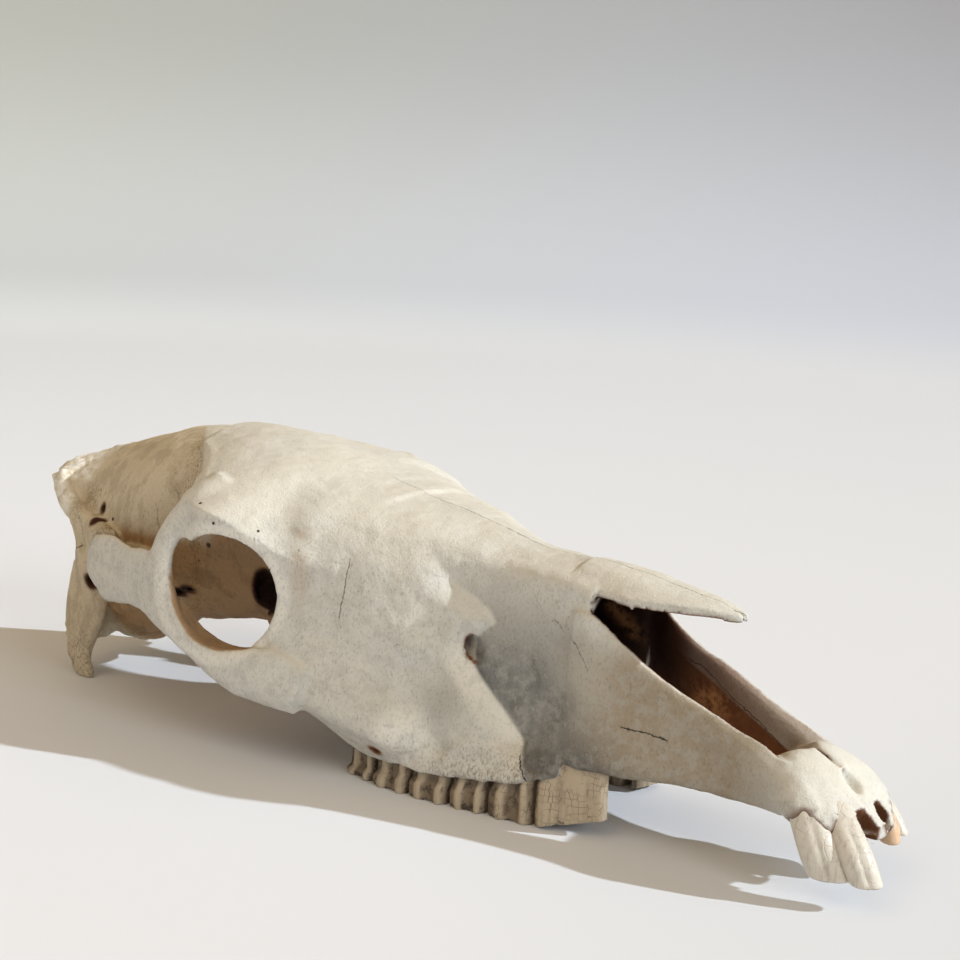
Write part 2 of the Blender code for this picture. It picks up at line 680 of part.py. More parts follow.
# ---------------------------------------------------------------- build
def main():
    """Model the skull whole, part it at its sutures and name each bone."""
    for thing in list(bpy.data.objects):
        bpy.data.objects.remove(thing)
    skull = merged(join("cranium", bone_forms()), FORM_VOXEL)
    combine(skull, merged(join("cavities", openings()), FORM_VOXEL), "DIFFERENCE")
    keep_largest(skull)
    thinned(skull, FORM_TRIANGLES)
    for tooth in teeth():
        combine(skull, tooth, "UNION")
    combine(skull, block("side", BELOW_FLOOR, -REGION_WIDE, REGION_WIDE), "DIFFERENCE")
    combine(skull, block("side", BROKEN_OFF, BROKEN_FROM, BROKEN_TO), "DIFFERENCE")
    for centre, radii in SOCKETS:
        combine(skull, knob("socket", centre, radii), "DIFFERENCE")
    bones = []
    for word, side in (("right", -1), ("left", 1)):
        bones += [
            part_off(skull, f"nasal_{word}", side, side_view=NASAL_SIDE, top_view=NASAL_TOP),
            part_off(skull, f"premaxilla_{word}", side, side_view=PREMAXILLA_SIDE),
            part_off(skull, f"zygomatic_{word}", side, side_view=ZYGOMATIC_SIDE, top_view=ZYGOMATIC_TOP),
            part_off(skull, f"palatine_{word}", side, side_view=PALATINE_SIDE, top_view=PALATINE_TOP),
            part_off(skull, f"maxilla_{word}", side, side_view=FACE_SIDE),
            part_off(skull, f"frontal_{word}", side, side_view=FRONTAL_SIDE),
        ]
    bones.append(skull)
    collection = bpy.data.collections.new(SKULL)
    bpy.context.scene.collection.children.link(collection)
    for bone in bones:
        color = BONE
        if bone.name == "cranium":
            color = BRAIN_BONE
        elif bone.name.startswith("premaxilla"):
            color = MUZZLE_BONE
        finish(bone, collection, color)
        if len(bone.data.polygons) < FEWEST_FACES:
            raise ValueError(f"{bone.name} lost its form in a cut")
    print("triangles", sum(len(bone.data.polygons) for bone in bones))


main()
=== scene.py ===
"""Looks of a dry, weathered horse skull that lies on its cheek teeth.

Sizes are in millimetres. X runs from the nuchal crest to the front teeth, -Y is the skull's right
side and Z is up from the floor. A bone's form is the union of swept and lofted surfaces, held as a
distance field on a fine lattice, and every bone is meshed from that one field, so that neighbouring
bones meet along their sutures without a step.
"""

import logging
import math
from dataclasses import dataclass, field
from enum import Enum
from typing import Callable, Sequence

import bpy
import numpy as np
import openvdb
from mathutils import Matrix, Vector


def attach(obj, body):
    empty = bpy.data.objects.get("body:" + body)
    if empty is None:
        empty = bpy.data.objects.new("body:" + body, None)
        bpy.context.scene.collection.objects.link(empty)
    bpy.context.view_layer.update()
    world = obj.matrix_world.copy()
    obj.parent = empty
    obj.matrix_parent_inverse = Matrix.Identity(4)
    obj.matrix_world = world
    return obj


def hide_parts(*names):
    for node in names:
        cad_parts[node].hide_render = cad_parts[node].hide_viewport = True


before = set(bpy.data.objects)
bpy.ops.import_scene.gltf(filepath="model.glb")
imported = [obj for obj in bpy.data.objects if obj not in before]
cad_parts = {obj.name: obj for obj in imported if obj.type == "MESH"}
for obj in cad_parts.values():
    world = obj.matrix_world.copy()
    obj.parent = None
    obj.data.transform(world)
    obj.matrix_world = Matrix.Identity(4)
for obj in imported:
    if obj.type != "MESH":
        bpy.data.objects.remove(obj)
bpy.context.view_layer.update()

LOG = logging.getLogger("skull")

MM = 0.001
X_MIDDLE = 263.3            # distance of the frame's origin in front of the occipital face
GRAIN = 1.25                # spacing of the lattice that holds the form
BAND = 8                    # half width of the kept distances, in lattice steps
SEED = 7

Array = np.ndarray
Row = Sequence[float]
Block = tuple[slice, slice, slice]
Colour = tuple[float, float, float, float]


class Side(Enum):
    """One half of the skull; the value is the sign of Y."""

    RIGHT = -1
    LEFT = 1

    @property
    def word(self) -> str:
        """Side as it stands in a piece's name."""
        return self.name.lower()


class Tone(Enum):
    """What a stretch of surface belongs to; the value is its mark in the lattice."""

    OUTER = 0
    ORBIT = 1
    NASAL = 2
    UNDER = 3


# ------------------------------------------------------------------ curves and surfaces
def spline(values: Sequence[Row], steps: int) -> Array:
    """Smooth curve through rows of values.

    Each interval is the cubic 0.5(2b + (c-a)t + (2a-5b+4c-d)t^2 + (3b-a-3c+d)t^3) of its rows b, c
    and their neighbours a, d.

    Args:
        values: rows of numbers, one row for each station.
        steps: samples in each interval.

    Returns:
        Array of smoothed rows that ends with the last station.
    """
    rows = np.asarray(values, float)
    padded = np.concatenate([2 * rows[:1] - rows[1:2], rows, 2 * rows[-1:] - rows[-2:-1]])
    t = np.linspace(0.0, 1.0, steps, endpoint=False)[None, :, None]
    a, b, c, d = (padded[i:len(rows) - 1 + i, None] for i in range(4))
    cubic = 0.5 * (2 * b + (c - a) * t + (2 * a - 5 * b + 4 * c - d) * t ** 2
                   + (3 * b - a - 3 * c + d) * t ** 3)
    return np.concatenate([cubic.reshape(-1, rows.shape[1]), rows[-1:]])


@dataclass
class Surface:
    """Closed surface: points and the four- and three-sided faces between them."""

    points: Array
    quads: Array
    triangles: Array

    @classmethod
    def of_rings(cls, rings: Array) -> "Surface":
        """Skin over a stack of rings, closed at both ends by a fan round the ring's centre.

        Args:
            rings: array (stations, points of a ring, 3).
        """
        rings = np.asarray(rings, float)
        count, around = rings.shape[:2]
        centres = rings[[0, -1]].mean(axis=1)
        points = np.concatenate([rings.reshape(-1, 3), centres])
        i, j = np.meshgrid(np.arange(count - 1), np.arange(around), indexing="ij")
        k = (j + 1) % around
        quads = np.stack([i * around + j, i * around + k, (i + 1) * around + k, (i + 1) * around + j], -1)
        a = np.arange(around)
        b = (a + 1) % around
        start = np.column_stack([b, a, np.full(around, count * around)])
        last = (count - 1) * around
        end = np.column_stack([last + a, last + b, np.full(around, count * around + 1)])
        return cls(points, quads.reshape(-1, 4), np.concatenate([start, end]))

    def mirrored(self, side: Side) -> "Surface":
        """The surface on the given side of the skull."""
        if side is Side.LEFT:
            return self
        return Surface(self.points * (1, -1, 1), self.quads[:, ::-1], self.triangles[:, ::-1])

    def to_object(self, name: str) -> bpy.types.Object:
        """Mesh object in the object's frame, in metres."""
        data = bpy.data.meshes.new(name)
        points = (self.points - (X_MIDDLE, 0, 0)) * MM
        data.from_pydata(points.tolist(), [], self.quads.tolist() + self.triangles.tolist())
        data.update()
        thing = bpy.data.objects.new(name, data)
        bpy.context.scene.collection.objects.link(thing)
        return thing


def oval(half_width: float, widest: float, top: float, bottom: float,
         power_top: float = 2.0, power_bottom: float = 2.0, count: int = 56) -> Array:
    """Egg-shaped ring of (y, z): y = w|cos|^(2/p), z = widest + reach |sin|^(2/p), signs kept.

    Args:
        half_width: half width w at the widest place.
        widest: height of the widest place.
        top: greatest height.
        bottom: least height.
        power_top: power p above the widest place; 2 is an ellipse, more is squarer.
        power_bottom: power p below it.
        count: points round the ring.
    """
    angle = np.linspace(0.0, 2 * math.pi, count, endpoint=False)
    c, s = np.cos(angle), np.sin(angle)
    power = np.where(s >= 0, power_top, power_bottom)
    reach = np.where(s >= 0, top - widest, widest - bottom)
    y = half_width * np.sign(c) * np.abs(c) ** (2 / power)
    z = widest + reach * np.sign(s) * np.abs(s) ** (2 / power)
    return np.stack([y, z], axis=1)


def along_x(table: Sequence[Row], section: Callable[[Array], Array], steps: int = 6) -> Surface:
    """Body through sections square to X.

    Args:
        table: rows that begin with x.
        section: turns the rest of a smoothed row into a ring of (y, z).
        steps: stations in each interval.
    """
    rows = spline(table, steps)
    rings = [np.insert(section(row[1:]), 0, row[0], axis=1) for row in rows]
    return Surface.of_rings(np.array(rings))


def roof_section(row: Array, count: int = 40) -> Array:
    """Ring of a roof: z = middle - (middle - edge)|y / w|^2.6 above, the same less a depth below."""
    half_width, middle, edge, depth = row
    y = half_width * np.sin(np.linspace(-math.pi / 2, math.pi / 2, count))
    upper = middle - (middle - edge) * np.abs(y / half_width) ** 2.6
    return np.concatenate([np.column_stack([y, upper]), np.column_stack([y, upper - depth])[::-1]])


def face_section(row: Array) -> Array:
    """Closed ring through nine points of a half section and their mirror images."""
    half = spline(np.asarray(row).reshape(9, 2), 5)
    return np.concatenate([half, (half * (-1, 1))[-2:0:-1]])


def swept(table: Sequence[tuple], across: Row = (0, 0, 1), steps: int = 6, count: int = 28) -> Surface:
    """Oval profile carried along a path.

    A ring's points are path + up h cos + out t sin, where up is the given direction made square to
    the path and out is square to both.

    Args:
        table: rows of ((x, y, z), half height, half thickness).
        across: direction of the half height.
        steps: stations in each interval.
        count: points round the profile.
    """
    rows = spline([(*centre, high, thick) for centre, high, thick in table], steps)
    path, high, thick = rows[:, :3], rows[:, 3:4], rows[:, 4:5]
    tangent = np.gradient(path, axis=0)
    tangent /= np.linalg.norm(tangent, axis=1, keepdims=True)
    up = np.asarray(across, float) - tangent * (tangent @ np.asarray(across, float))[:, None]
    up /= np.linalg.norm(up, axis=1, keepdims=True)
    out = np.cross(tangent, up)
    angle = np.linspace(0, 2 * math.pi, count, endpoint=False)[None, :, None]
    rings = path[:, None] + up[:, None] * high[:, None] * np.cos(angle) \
        + out[:, None] * thick[:, None] * np.sin(angle)
    return Surface.of_rings(rings)


def ellipsoid(centre: Row, radii: Row, count: int = 32) -> Surface:
    """Ball stretched to three radii, from rings of latitude that end just short of the poles."""
    latitude = np.linspace(0.04, math.pi - 0.04, count // 2)[:, None]
    longitude = np.linspace(0, 2 * math.pi, count, endpoint=False)[None, :]
    ring = np.stack([np.cos(latitude) + 0 * longitude, np.sin(latitude) * np.cos(longitude),
                     np.sin(latitude) * np.sin(longitude)], -1)
    return Surface.of_rings(np.asarray(centre, float) + ring * np.asarray(radii, float))


# ------------------------------------------------------------------ the lattice that holds the form
def smooth_least(a: Array, b: Array, ease: float) -> Array:
    """Lesser of two distances with a fillet: min(a, b) - max(ease - |a - b|, 0)^2 / (4 ease)."""
    least = np.minimum(a, b)
    if ease <= 0:
        return least
    return least - np.maximum(ease - np.abs(a - b), 0) ** 2 / (4 * ease)


@dataclass
class Lattice:
    """Distances to the skull's surface on a regular lattice, negative inside the bone."""

    low: tuple[float, float, float] = (-42.0, -108.75, -8.0)
    high: tuple[float, float, float] = (566.0, 108.75, 176.0)
    grain: float = GRAIN
    form: Array = field(init=False)
    tone: Array = field(init=False)

    def __post_init__(self) -> None:
        """Make the empty lattice, placed so that no sample lies on the middle plane."""
        half = int(math.ceil(self.high[1] / self.grain))
        count = [int((h - l) / self.grain) + 1 for l, h in zip(self.low, self.high)]
        count[1] = 2 * half
        self.low = (self.low[0], -(half - 0.5) * self.grain, self.low[2])
        self.form = np.full(count, BAND * self.grain, np.float32)
        self.tone = np.zeros(count, np.uint8)

    def axis(self, which: int, part: slice = slice(None)) -> Array:
        """Coordinates of the samples along one axis."""
        return (self.low[which] + self.grain * np.arange(self.form.shape[which])[part]).astype(np.float32)

    def window(self, low: Row, high: Row) -> Block:
        """Part of the lattice round a box, with room for the band."""
        made = []
        for i in range(3):
            start = int(math.floor((low[i] - self.low[i]) / self.grain)) - BAND - 1
            stop = int(math.ceil((high[i] - self.low[i]) / self.grain)) + BAND + 2
            made.append(slice(max(start, 0), min(stop, self.form.shape[i])))
        return tuple(made)

    def distances(self, surface: Surface) -> tuple[Block, Array]:
        """Signed distances to a closed surface in the part of the lattice round it."""
        points = ((surface.points - self.low) / self.grain).astype(np.float32)
        level = openvdb.FloatGrid.createLevelSetFromPolygons(
            points, triangles=surface.triangles.astype(np.uint32), quads=surface.quads.astype(np.uint32),
            halfWidth=BAND)
        part = self.window(surface.points.min(axis=0), surface.points.max(axis=0))
        dense = np.empty([p.stop - p.start for p in part], np.float32)
        level.copyToArray(dense, ijk=tuple(p.start for p in part))
        return part, dense * self.grain

    def join(self, surface: Surface, ease: float = 4.0) -> None:
        """Add a body, with a fillet of size ease where it meets what is there."""
        part, dense = self.distances(surface)
        self.form[part] = smooth_least(self.form[part], dense, ease)

    def cut(self, surface: Surface, ease: float = 2.0, tone: Tone = Tone.OUTER, reach: float = 2.5) -> None:
        """Take a hollow out and mark the surface that it leaves with a tone.

        Args:
            surface: skin of the hollow.
            ease: size of the fillet round its rim.
            tone: what the surface that it leaves belongs to.
            reach: how far outside the hollow samples are marked.
        """
        part, dense = self.distances(surface)
        self.form[part] = -smooth_least(-self.form[part], dense, ease)
        if tone is not Tone.OUTER:
            self.tone[part][dense < reach] = tone.value

    def mark(self, surface: Surface, tone: Tone) -> None:
        """Give a tone to the samples inside a surface, and leave the form as it is."""
        part, dense = self.distances(surface)
        self.tone[part][dense < 0] = tone.value

    def trim(self, low: Row, high: Row, height: Callable[[Array, Array], Array]) -> None:
        """Take away what lies below a height inside a box.

        Args:
            low: least corner of the box.
            high: greatest corner of the box.
            height: gives the height to cut at from x and y.
        """
        part = tuple(slice(max(int((l - start) / self.grain), 0), int((h - start) / self.grain) + 1)
                     for l, h, start in zip(low, high, self.low))
        x, y, z = np.meshgrid(*(self.axis(i, part[i]) for i in range(3)), indexing="ij", sparse=True)
        self.form[part] = np.maximum(self.form[part], height(x, y) - z)

    def near(self, low: Row, high: Row, reach: float = 6.0) -> tuple[Block, Array, Array]:
        """Samples close to the surface inside a box.

        Args:
            low: least corner of the box.
            high: greatest corner of the box.
            reach: largest distance from the surface.

        Returns:
            The lattice part, the mask of its samples that are meant, and their points.
        """
        part = self.window(low, high)
        mask = np.abs(self.form[part]) < reach
        grid = np.meshgrid(*(self.axis(i, part[i]) for i in range(3)), indexing="ij", sparse=True)
        points = np.stack([np.broadcast_to(g, mask.shape)[mask] for g in grid], -1)
        return part, mask, points

    def shift(self, part: Block, mask: Array, amount: Array) -> None:
        """Move the surface at chosen samples.

        Args:
            part: block of the lattice.
            mask: samples in it that are meant.
            amount: how far inwards at each; a negative amount raises the surface.
        """
        self.form[part][mask] += amount.astype(np.float32)


def path_distance(points: Array, path: Array) -> tuple[Array, Array]:
    """Distance of each point to a line of short segments.

    Args:
        points: array (count, 3).
        path: ends of the segments in order.

    Returns:
        The distances, and how far along the line each nearest place is, 0 to 1.
    """
    best = np.full(len(points), 1e9, np.float32)
    along = np.zeros(len(points), np.float32)
    count = len(path) - 1
    for i in range(count):
        a, b = path[i].astype(np.float32), path[i + 1].astype(np.float32)
        ab = b - a
        t = np.clip((points - a) @ ab / max(float(ab @ ab), 1e-9), 0, 1)
        d = np.linalg.norm(points - a - t[:, None] * ab, axis=1)
        closer = d < best
        best[closer] = d[closer]
        along[closer] = (i + t[closer]) / count
    return best, along


@dataclass
class Relief:
    """Low forms that are raised on the bone or sunk into it."""

    lattice: Lattice

    def line(self, path: Sequence[Row], width: float, height: float, side: Side,
             taper: tuple[float, float] = (0.15, 0.15)) -> None:
        """Ridge (height above 0) or groove (below 0): height exp(-(d / width)^2), fading at its ends.

        Args:
            path: points (x, y, z) on the left side.
            width: distance at which the form has fallen to about a third.
            height: how far it stands out.
            side: side of the skull that it is on.
            taper: shares of the length over which each end fades.
        """
        route = spline(path, 5) * (1, side.value, 1)
        part, mask, points = self.lattice.near(route.min(0) - 3 * width, route.max(0) + 3 * width)
        d, t = path_distance(points, route)
        fade = np.clip(t / max(taper[0], 1e-3), 0, 1) * np.clip((1 - t) / max(taper[1], 1e-3), 0, 1)
        self.lattice.shift(part, mask, -height * np.exp(-(d / width) ** 2) * np.sqrt(fade))

    def spot(self, centre: Row, radii: Row, height: float, side: Side) -> None:
        """Rounded swelling or dent: height exp(-r^2), where r is the distance in units of the radii.

        Args:
            centre: middle of the form, on the left side.
            radii: distances at which it has fallen to about a third.
            height: how far it stands out; below 0 it is a dent.
            side: side of the skull that it is on.
        """
        middle = np.asarray(centre, float) * (1, side.value, 1)
        size = np.asarray(radii, float)
        part, mask, points = self.lattice.near(middle - 2.4 * size, middle + 2.4 * size)
        r = (((points - middle) / size) ** 2).sum(axis=1)
        self.lattice.shift(part, mask, -height * np.exp(-r))

    def fold(self, path: Sequence[Row], depth: float, behind: float, ahead: float, side: Side,
             swell: float = 0.0) -> None:
        """Valley line: the surface falls to it from behind and rises again ahead of it.

        With s the distance from the line, the depth is D (0.55 exp(-s / b) + 0.45 exp(-s / 4b)) behind
        it and D exp(-s / a) ahead of it; behind it the surface also swells by H exp(-((s - 2b) / b)^2).

        Args:
            path: points (x, y, z) on the left side, from top to bottom.
            depth: depth D of the valley at the line.
            behind: length b of the fall behind the line.
            ahead: length a of the rise ahead of it.
            side: side of the skull that it is on.
            swell: height H of the swelling behind the line.
        """
        route = spline(path, 5) * (1, side.value, 1)
        reach = 2.6 * max(2 * behind, ahead)
        part, mask, points = self.lattice.near(route.min(0) - reach, route.max(0) + reach, 9.0)
        flat = points * (1, 0.35, 1)
        d, t = path_distance(flat, route * (1, 0.35, 1))
        index = np.clip((t * (len(route) - 1)).astype(int), 0, len(route) - 2)
        start, along = route[index], route[index + 1] - route[index]
        offset = points - start
        sign = offset[:, 0] * along[:, 2] - offset[:, 2] * along[:, 0]
        fade = eased(t, 0.0, 0.16) * eased(t, 1.0, 0.9) * eased(points[:, 1] * side.value, 8, 20)
        back = depth * (0.55 * np.exp(-d / behind) + 0.45 * np.exp(-d / (4 * behind))) \
            - swell * np.exp(-((d - 2 * behind) / behind) ** 2)
        self.lattice.shift(part, mask, np.where(sign > 0, back, depth * np.exp(-d / ahead)) * fade)

    def hole(self, path: Sequence[Row], radii: Sequence[Row], side: Side, ease: float = 0.8,
             tone: Tone = Tone.NASAL) -> None:
        """Channel along a path.

        Args:
            path: points (x, y, z) on the left side.
            radii: half height and half thickness at each of its points.
            side: side of the skull that it is on.
            ease: size of the fillet round its rim.
            tone: what its surface belongs to.
        """
        rows = [(point, high, thick) for point, (high, thick) in zip(path, radii)]
        direction = np.abs(np.asarray(path[-1], float) - np.asarray(path[0], float))
        across = (0, 0, 1) if direction[2] < max(direction[:2]) else (1, 0, 0)
        self.lattice.cut(swept(rows, across=across, steps=4, count=16).mirrored(side), ease, tone, 1.0)

    def uneven(self, wave: float, height: float, random: np.random.Generator,
                  weight: Callable[[Array], Array] | None = None) -> None:
        """Uneven surface: values drawn on a coarse lattice, eased between with 3t^2 - 2t^3.

        Args:
            wave: spacing of the coarse lattice.
            height: largest displacement.
            random: source of the values.
            weight: strength at given points, 1 where it isn't given.
        """
        part, mask, points = self.lattice.near(self.lattice.low, self.lattice.high, 3.5)
        low = np.asarray(self.lattice.low)
        size = [int(n * self.lattice.grain / wave) + 3 for n in self.lattice.form.shape]
        values = random.uniform(-1, 1, size).astype(np.float32)
        place = (points - low) / wave
        cell = np.floor(place).astype(int)
        t = (place - cell).astype(np.float32)
        t = t * t * (3 - 2 * t)
        total = np.zeros(len(points), np.float32)
        for corner in np.ndindex(2, 2, 2):
            c = np.asarray(corner)
            share = np.prod(np.where(c == 1, t, 1 - t), axis=1)
            at = np.clip(cell + c, 0, np.asarray(size) - 1)
            total += share * values[at[:, 0], at[:, 1], at[:, 2]]
        strength = 1.0 if weight is None else weight(points)
        self.lattice.shift(part, mask, height * total * strength)


# ------------------------------------------------------------------ sizes of the skull (mm)
@dataclass(frozen=True)
class Rod:
    """Bone mass carried along a path on each side of the skull."""

    rows: tuple                     # centre, half height, half thickness
    across: tuple = (0, 0, 1)       # direction of the half height
    ease: float = 4.0               # fillet where it meets the rest


@dataclass(frozen=True)
class SkullSizes:
    """Stations of every bone mass and hollow. The left side mirrors the right one."""

    # x, half width, height of the widest point, top, bottom, top power, bottom power
    braincase: tuple = (
        (-31, 17, 124, 129, 119, 2.2, 2.0),
        (-26, 32, 122, 131, 113, 2.1, 2.0),
        (-20, 38, 119, 133, 109, 2.0, 2.0),
        (-12, 40, 110, 136, 95, 1.9, 2.0),
        (-4, 40, 98, 139, 64, 1.8, 2.2),
        (4, 41, 90, 141, 38, 1.8, 2.2),
        (16, 44, 86, 144, 19, 1.8, 2.2),
        (32, 48, 88, 149, 16, 1.8, 2.1),
        (52, 52, 94, 154.5, 25, 1.9, 1.9),
        (76, 54, 101, 161, 38, 2.0, 1.8),
        (100, 52, 106, 165, 42.5, 2.1, 1.7),
        (126, 46, 111, 166.5, 48, 2.2, 1.7),
        (150, 42, 114, 166, 51, 2.3, 1.7),
        (176, 39, 114, 164, 54, 2.4, 1.8),
        (204, 38, 110, 157, 58, 2.4, 1.9),
        (236, 40, 104, 149, 60, 2.4, 2.0),
    )
    # x, half width, middle, edge height, depth
    forehead: tuple = (
        (112, 34, 166.5, 157, 10),
        (126, 44, 166.5, 154, 11),
        (140, 57, 166.0, 150, 13),
        (153, 74, 165.0, 144, 16),
        (166, 90, 163.5, 138, 20),
        (182, 98, 161.5, 136, 20),
        (198, 99, 159.0, 134, 18),
        (211, 95, 156.0, 129, 18),
        (224, 87, 152.5, 121, 20),
        (240, 79, 149.0, 113, 22),
        (258, 68, 146.0, 112, 22),
    )
    # x, nine (y, z) points from the top of the middle down to the palate
    face: tuple = (
        (206, ((0, 152), (20, 151), (42, 146), (56, 135), (62, 116), (62, 98), (54, 84), (34, 76), (0, 74))),
        (220, ((0, 152), (30, 150), (56, 143), (72, 130), (78, 112), (82, 92), (88, 60), (56, 46), (0, 54))),
        (234, ((0, 150), (40, 147), (66, 136), (75, 119), (80, 97), (88, 60), (76, 38), (40, 42), (0, 50))),
        (250, ((0, 147.5), (40, 143), (61, 130), (72, 109), (79, 83),
              (86, 48), (78, 34), (50, 26), (0, 44))),
        (270, ((0, 144.5), (38, 138.5), (56, 124), (68, 101), (76, 71),
              (84, 40), (73, 27), (55, 16), (0, 42))),
        (290, ((0, 141), (34, 135), (51, 119), (63, 94), (71, 64), (80.5, 36), (70, 24), (58, 14), (0, 41))),
        (310, ((0, 136.5), (30, 130.5), (46, 113), (56, 89), (64, 61),
              (76.5, 33), (68, 23), (60, 14), (0, 41))),
        (324, ((0, 134), (28, 128), (42, 109), (50, 85), (56, 61), (64, 42), (64, 28), (60, 14), (0, 42))),
        (340, ((0, 131), (26, 125), (37, 106), (45, 83), (50.5, 61),
              (56.5, 43), (60, 30), (57, 16), (0, 43))),
        (362, ((0, 129), (25.5, 123), (31.5, 105), (37.5, 82), (42.5, 60),
              (48, 42), (55, 30), (53, 19), (0, 45))),
        (385, ((0, 128.3), (25, 121), (28.5, 107), (32.5, 84), (37.5, 60),
              (43, 44), (50, 32), (48, 24), (0, 47))),
        (396, ((0, 128), (24, 119.5), (28.5, 109.5), (31.5, 84),
              (36, 60), (42, 45), (46, 35), (43, 28), (0, 48))),
    )
    # x, half width, middle height, edge height, thickness
    nasal: tuple = (
        (378, 24.0, 128.6, 120.0, 6.0),
        (396, 24.5, 128.0, 118.5, 5.5),
        (412, 24.0, 126.6, 117.8, 5.0),
        (427, 21.5, 124.0, 118.0, 4.6),
        (441, 16.5, 122.0, 118.3, 4.4),
        (453, 11.0, 120.3, 117.8, 4.2),
        (462, 6.5, 118.0, 116.5, 4.0),
        (467.5, 2.6, 116.5, 115.8, 3.2),
    )
    # x, upper rim (y, z), lower edge (y, z), half thickness top, middle, bottom
    muzzle_wall: tuple = (
        (388, 29.5, 108, 38, 36, 2.4, 3.0, 4.6),
        (400, 29.0, 108, 42.5, 36, 3.6, 3.0, 5.0),
        (411, 26.5, 99.5, 43, 37, 3.8, 3.6, 5.0),
        (425, 25.0, 90.0, 39.5, 37, 3.8, 3.6, 5.0),
        (438, 23.5, 83.5, 35, 37.5, 3.8, 3.6, 4.6),
        (450, 22.0, 78.5, 30, 37.5, 4.0, 3.8, 4.4),
        (463, 21.0, 73.5, 26, 37, 4.0, 4.0, 4.4),
        (478, 20.5, 68.0, 24, 37, 4.2, 4.4, 4.8),
        (494, 20.5, 63.0, 24.5, 37.5, 5.0, 5.4, 5.4),
        (508, 22.0, 57.0, 26, 37, 6.0, 6.4, 6.0),
    )
    # how the left muzzle wall differs: middle x, length, further out, higher, thicker
    left_hump: tuple = (452, 32, 2.6, 3.4, 1.0)
    # x, half width, widest height, top, bottom
    muzzle_body: tuple = (
        (486, 19, 42, 48, 37),
        (497, 26, 44, 58, 34),
        (508, 32, 43, 62, 32),
        (520, 36, 40, 57, 30),
        (532, 32.5, 36, 49, 28.5),
        (541, 23, 32.5, 40, 27.5),
        (547.5, 12, 29.5, 33, 26.5),
    )
    arch: Rod = Rod((
        ((70, 74, 90), 12, 8),
        ((82, 83, 87), 17, 6.5),
        ((100, 88, 86.5), 19.5, 5.0),
        ((122, 92, 86.5), 16.8, 4.6),
        ((142, 96, 87), 18.5, 4.8),
        ((157, 98, 78), 15, 5.0),
        ((170, 98.5, 68), 9.0, 5.4),
        ((184, 98, 60), 8.0, 6.0),
        ((200, 96, 53), 9.5, 6.4),
        ((216, 94, 51), 13, 6.2),
        ((234, 90.5, 51), 16, 6.0),
        ((254, 85, 46), 13, 6.0),
    ), ease=6.0)
    shelf: Rod = Rod((
        ((158, 90, 78), 5, 5.0),
        ((168, 88.5, 69), 6, 8.0),
        ((184, 87, 60), 6, 9.5),
        ((204, 85, 55.5), 6, 9.5),
        ((224, 82, 56), 7, 8.0),
    ))
    orbit_bar: Rod = Rod((
        ((176, 72, 145), 9.5, 7.5),
        ((170, 84, 137), 9.5, 7.0),
        ((162, 92, 125), 8.5, 6.0),
        ((155, 96, 110), 8.0, 5.2),
        ((152, 97, 92), 9.0, 4.8),
    ), across=(1, 0, 0.4), ease=6.0)
    temporal_ridge: Rod = Rod((
        ((-20, 36, 120), 8, 6),
        ((-6, 41, 108), 8, 6),
        ((16, 47, 99), 8, 6),
        ((40, 54, 95), 9, 7),
        ((58, 61, 92), 10, 8),
        ((76, 70, 88), 11, 7),
    ), ease=5.0)
    paracondylar: Rod = Rod((
        ((25, 44, 70), 17, 9),
        ((23.5, 48, 48), 18, 8),
        ((22.5, 50, 32), 16, 6.5),
        ((22, 51, 18), 12, 5.2),
        ((24, 51.5, 8), 9, 4.4),
        ((29, 51.5, 1.5), 7.5, 4.0),
        ((30, 51.5, -2.0), 7, 4.0),
    ), across=(1, 0, 0), ease=5.0)
    stump_height: float = 24.0      # the left paracondylar process is broken off here
    # box round its lower end, below the floor to above the break
    stump_box: tuple = ((-14, 36, -8), (64, 74, 30))
    pterygoid: Rod = Rod((
        ((164, 20, 62), 7, 4.0),
        ((178, 24, 58), 12, 3.6),
        ((193, 26.5, 54), 17, 3.4),
        ((212, 27.5, 54), 17, 3.6),
        ((236, 29, 54), 18, 5.0),
        ((258, 31, 50), 20, 6.0),
    ))
    hamulus: Rod = Rod((
        ((188, 26.5, 46), 4, 3),
        ((195, 27.5, 39), 3, 2.6),
        ((202, 28, 35), 2.4, 2.2),
    ), across=(0, 1, 0), ease=2.0)
    # centre, radii
    foramen_magnum: tuple = ((-6, 0, 57), (36, 17, 16))
    muzzle_hole: tuple = ((531, 0, 51), (6.5, 4.5, 7))
    nape_hollow: tuple = ((-16, 19, 98), (9, 13, 15))
    knobs: tuple = (
        ((8, 27, 40), (19, 16, 24)),
        ((34, 46, 78), (19, 13, 22)),
        ((82, 66, 82), (20, 22, 13)),
        ((66, 62, 66), (6, 9, 9)),
        ((96, 74, 71), (8, 15, 6)),
        ((246, 44, 48), (14, 15, 22)),
    )
    # y, centre x, centre z, half length, half height
    orbit: tuple = (
        (118, 203, 93, 35, 31.5),
        (100, 200, 93, 33.5, 30.5),
        (88, 196, 92, 35.5, 32.5),
        (80, 193, 92, 36, 33),
        (62, 186, 91, 34, 31),
        (48, 181, 90, 26, 24),
        (41, 178, 89, 14, 14),
    )
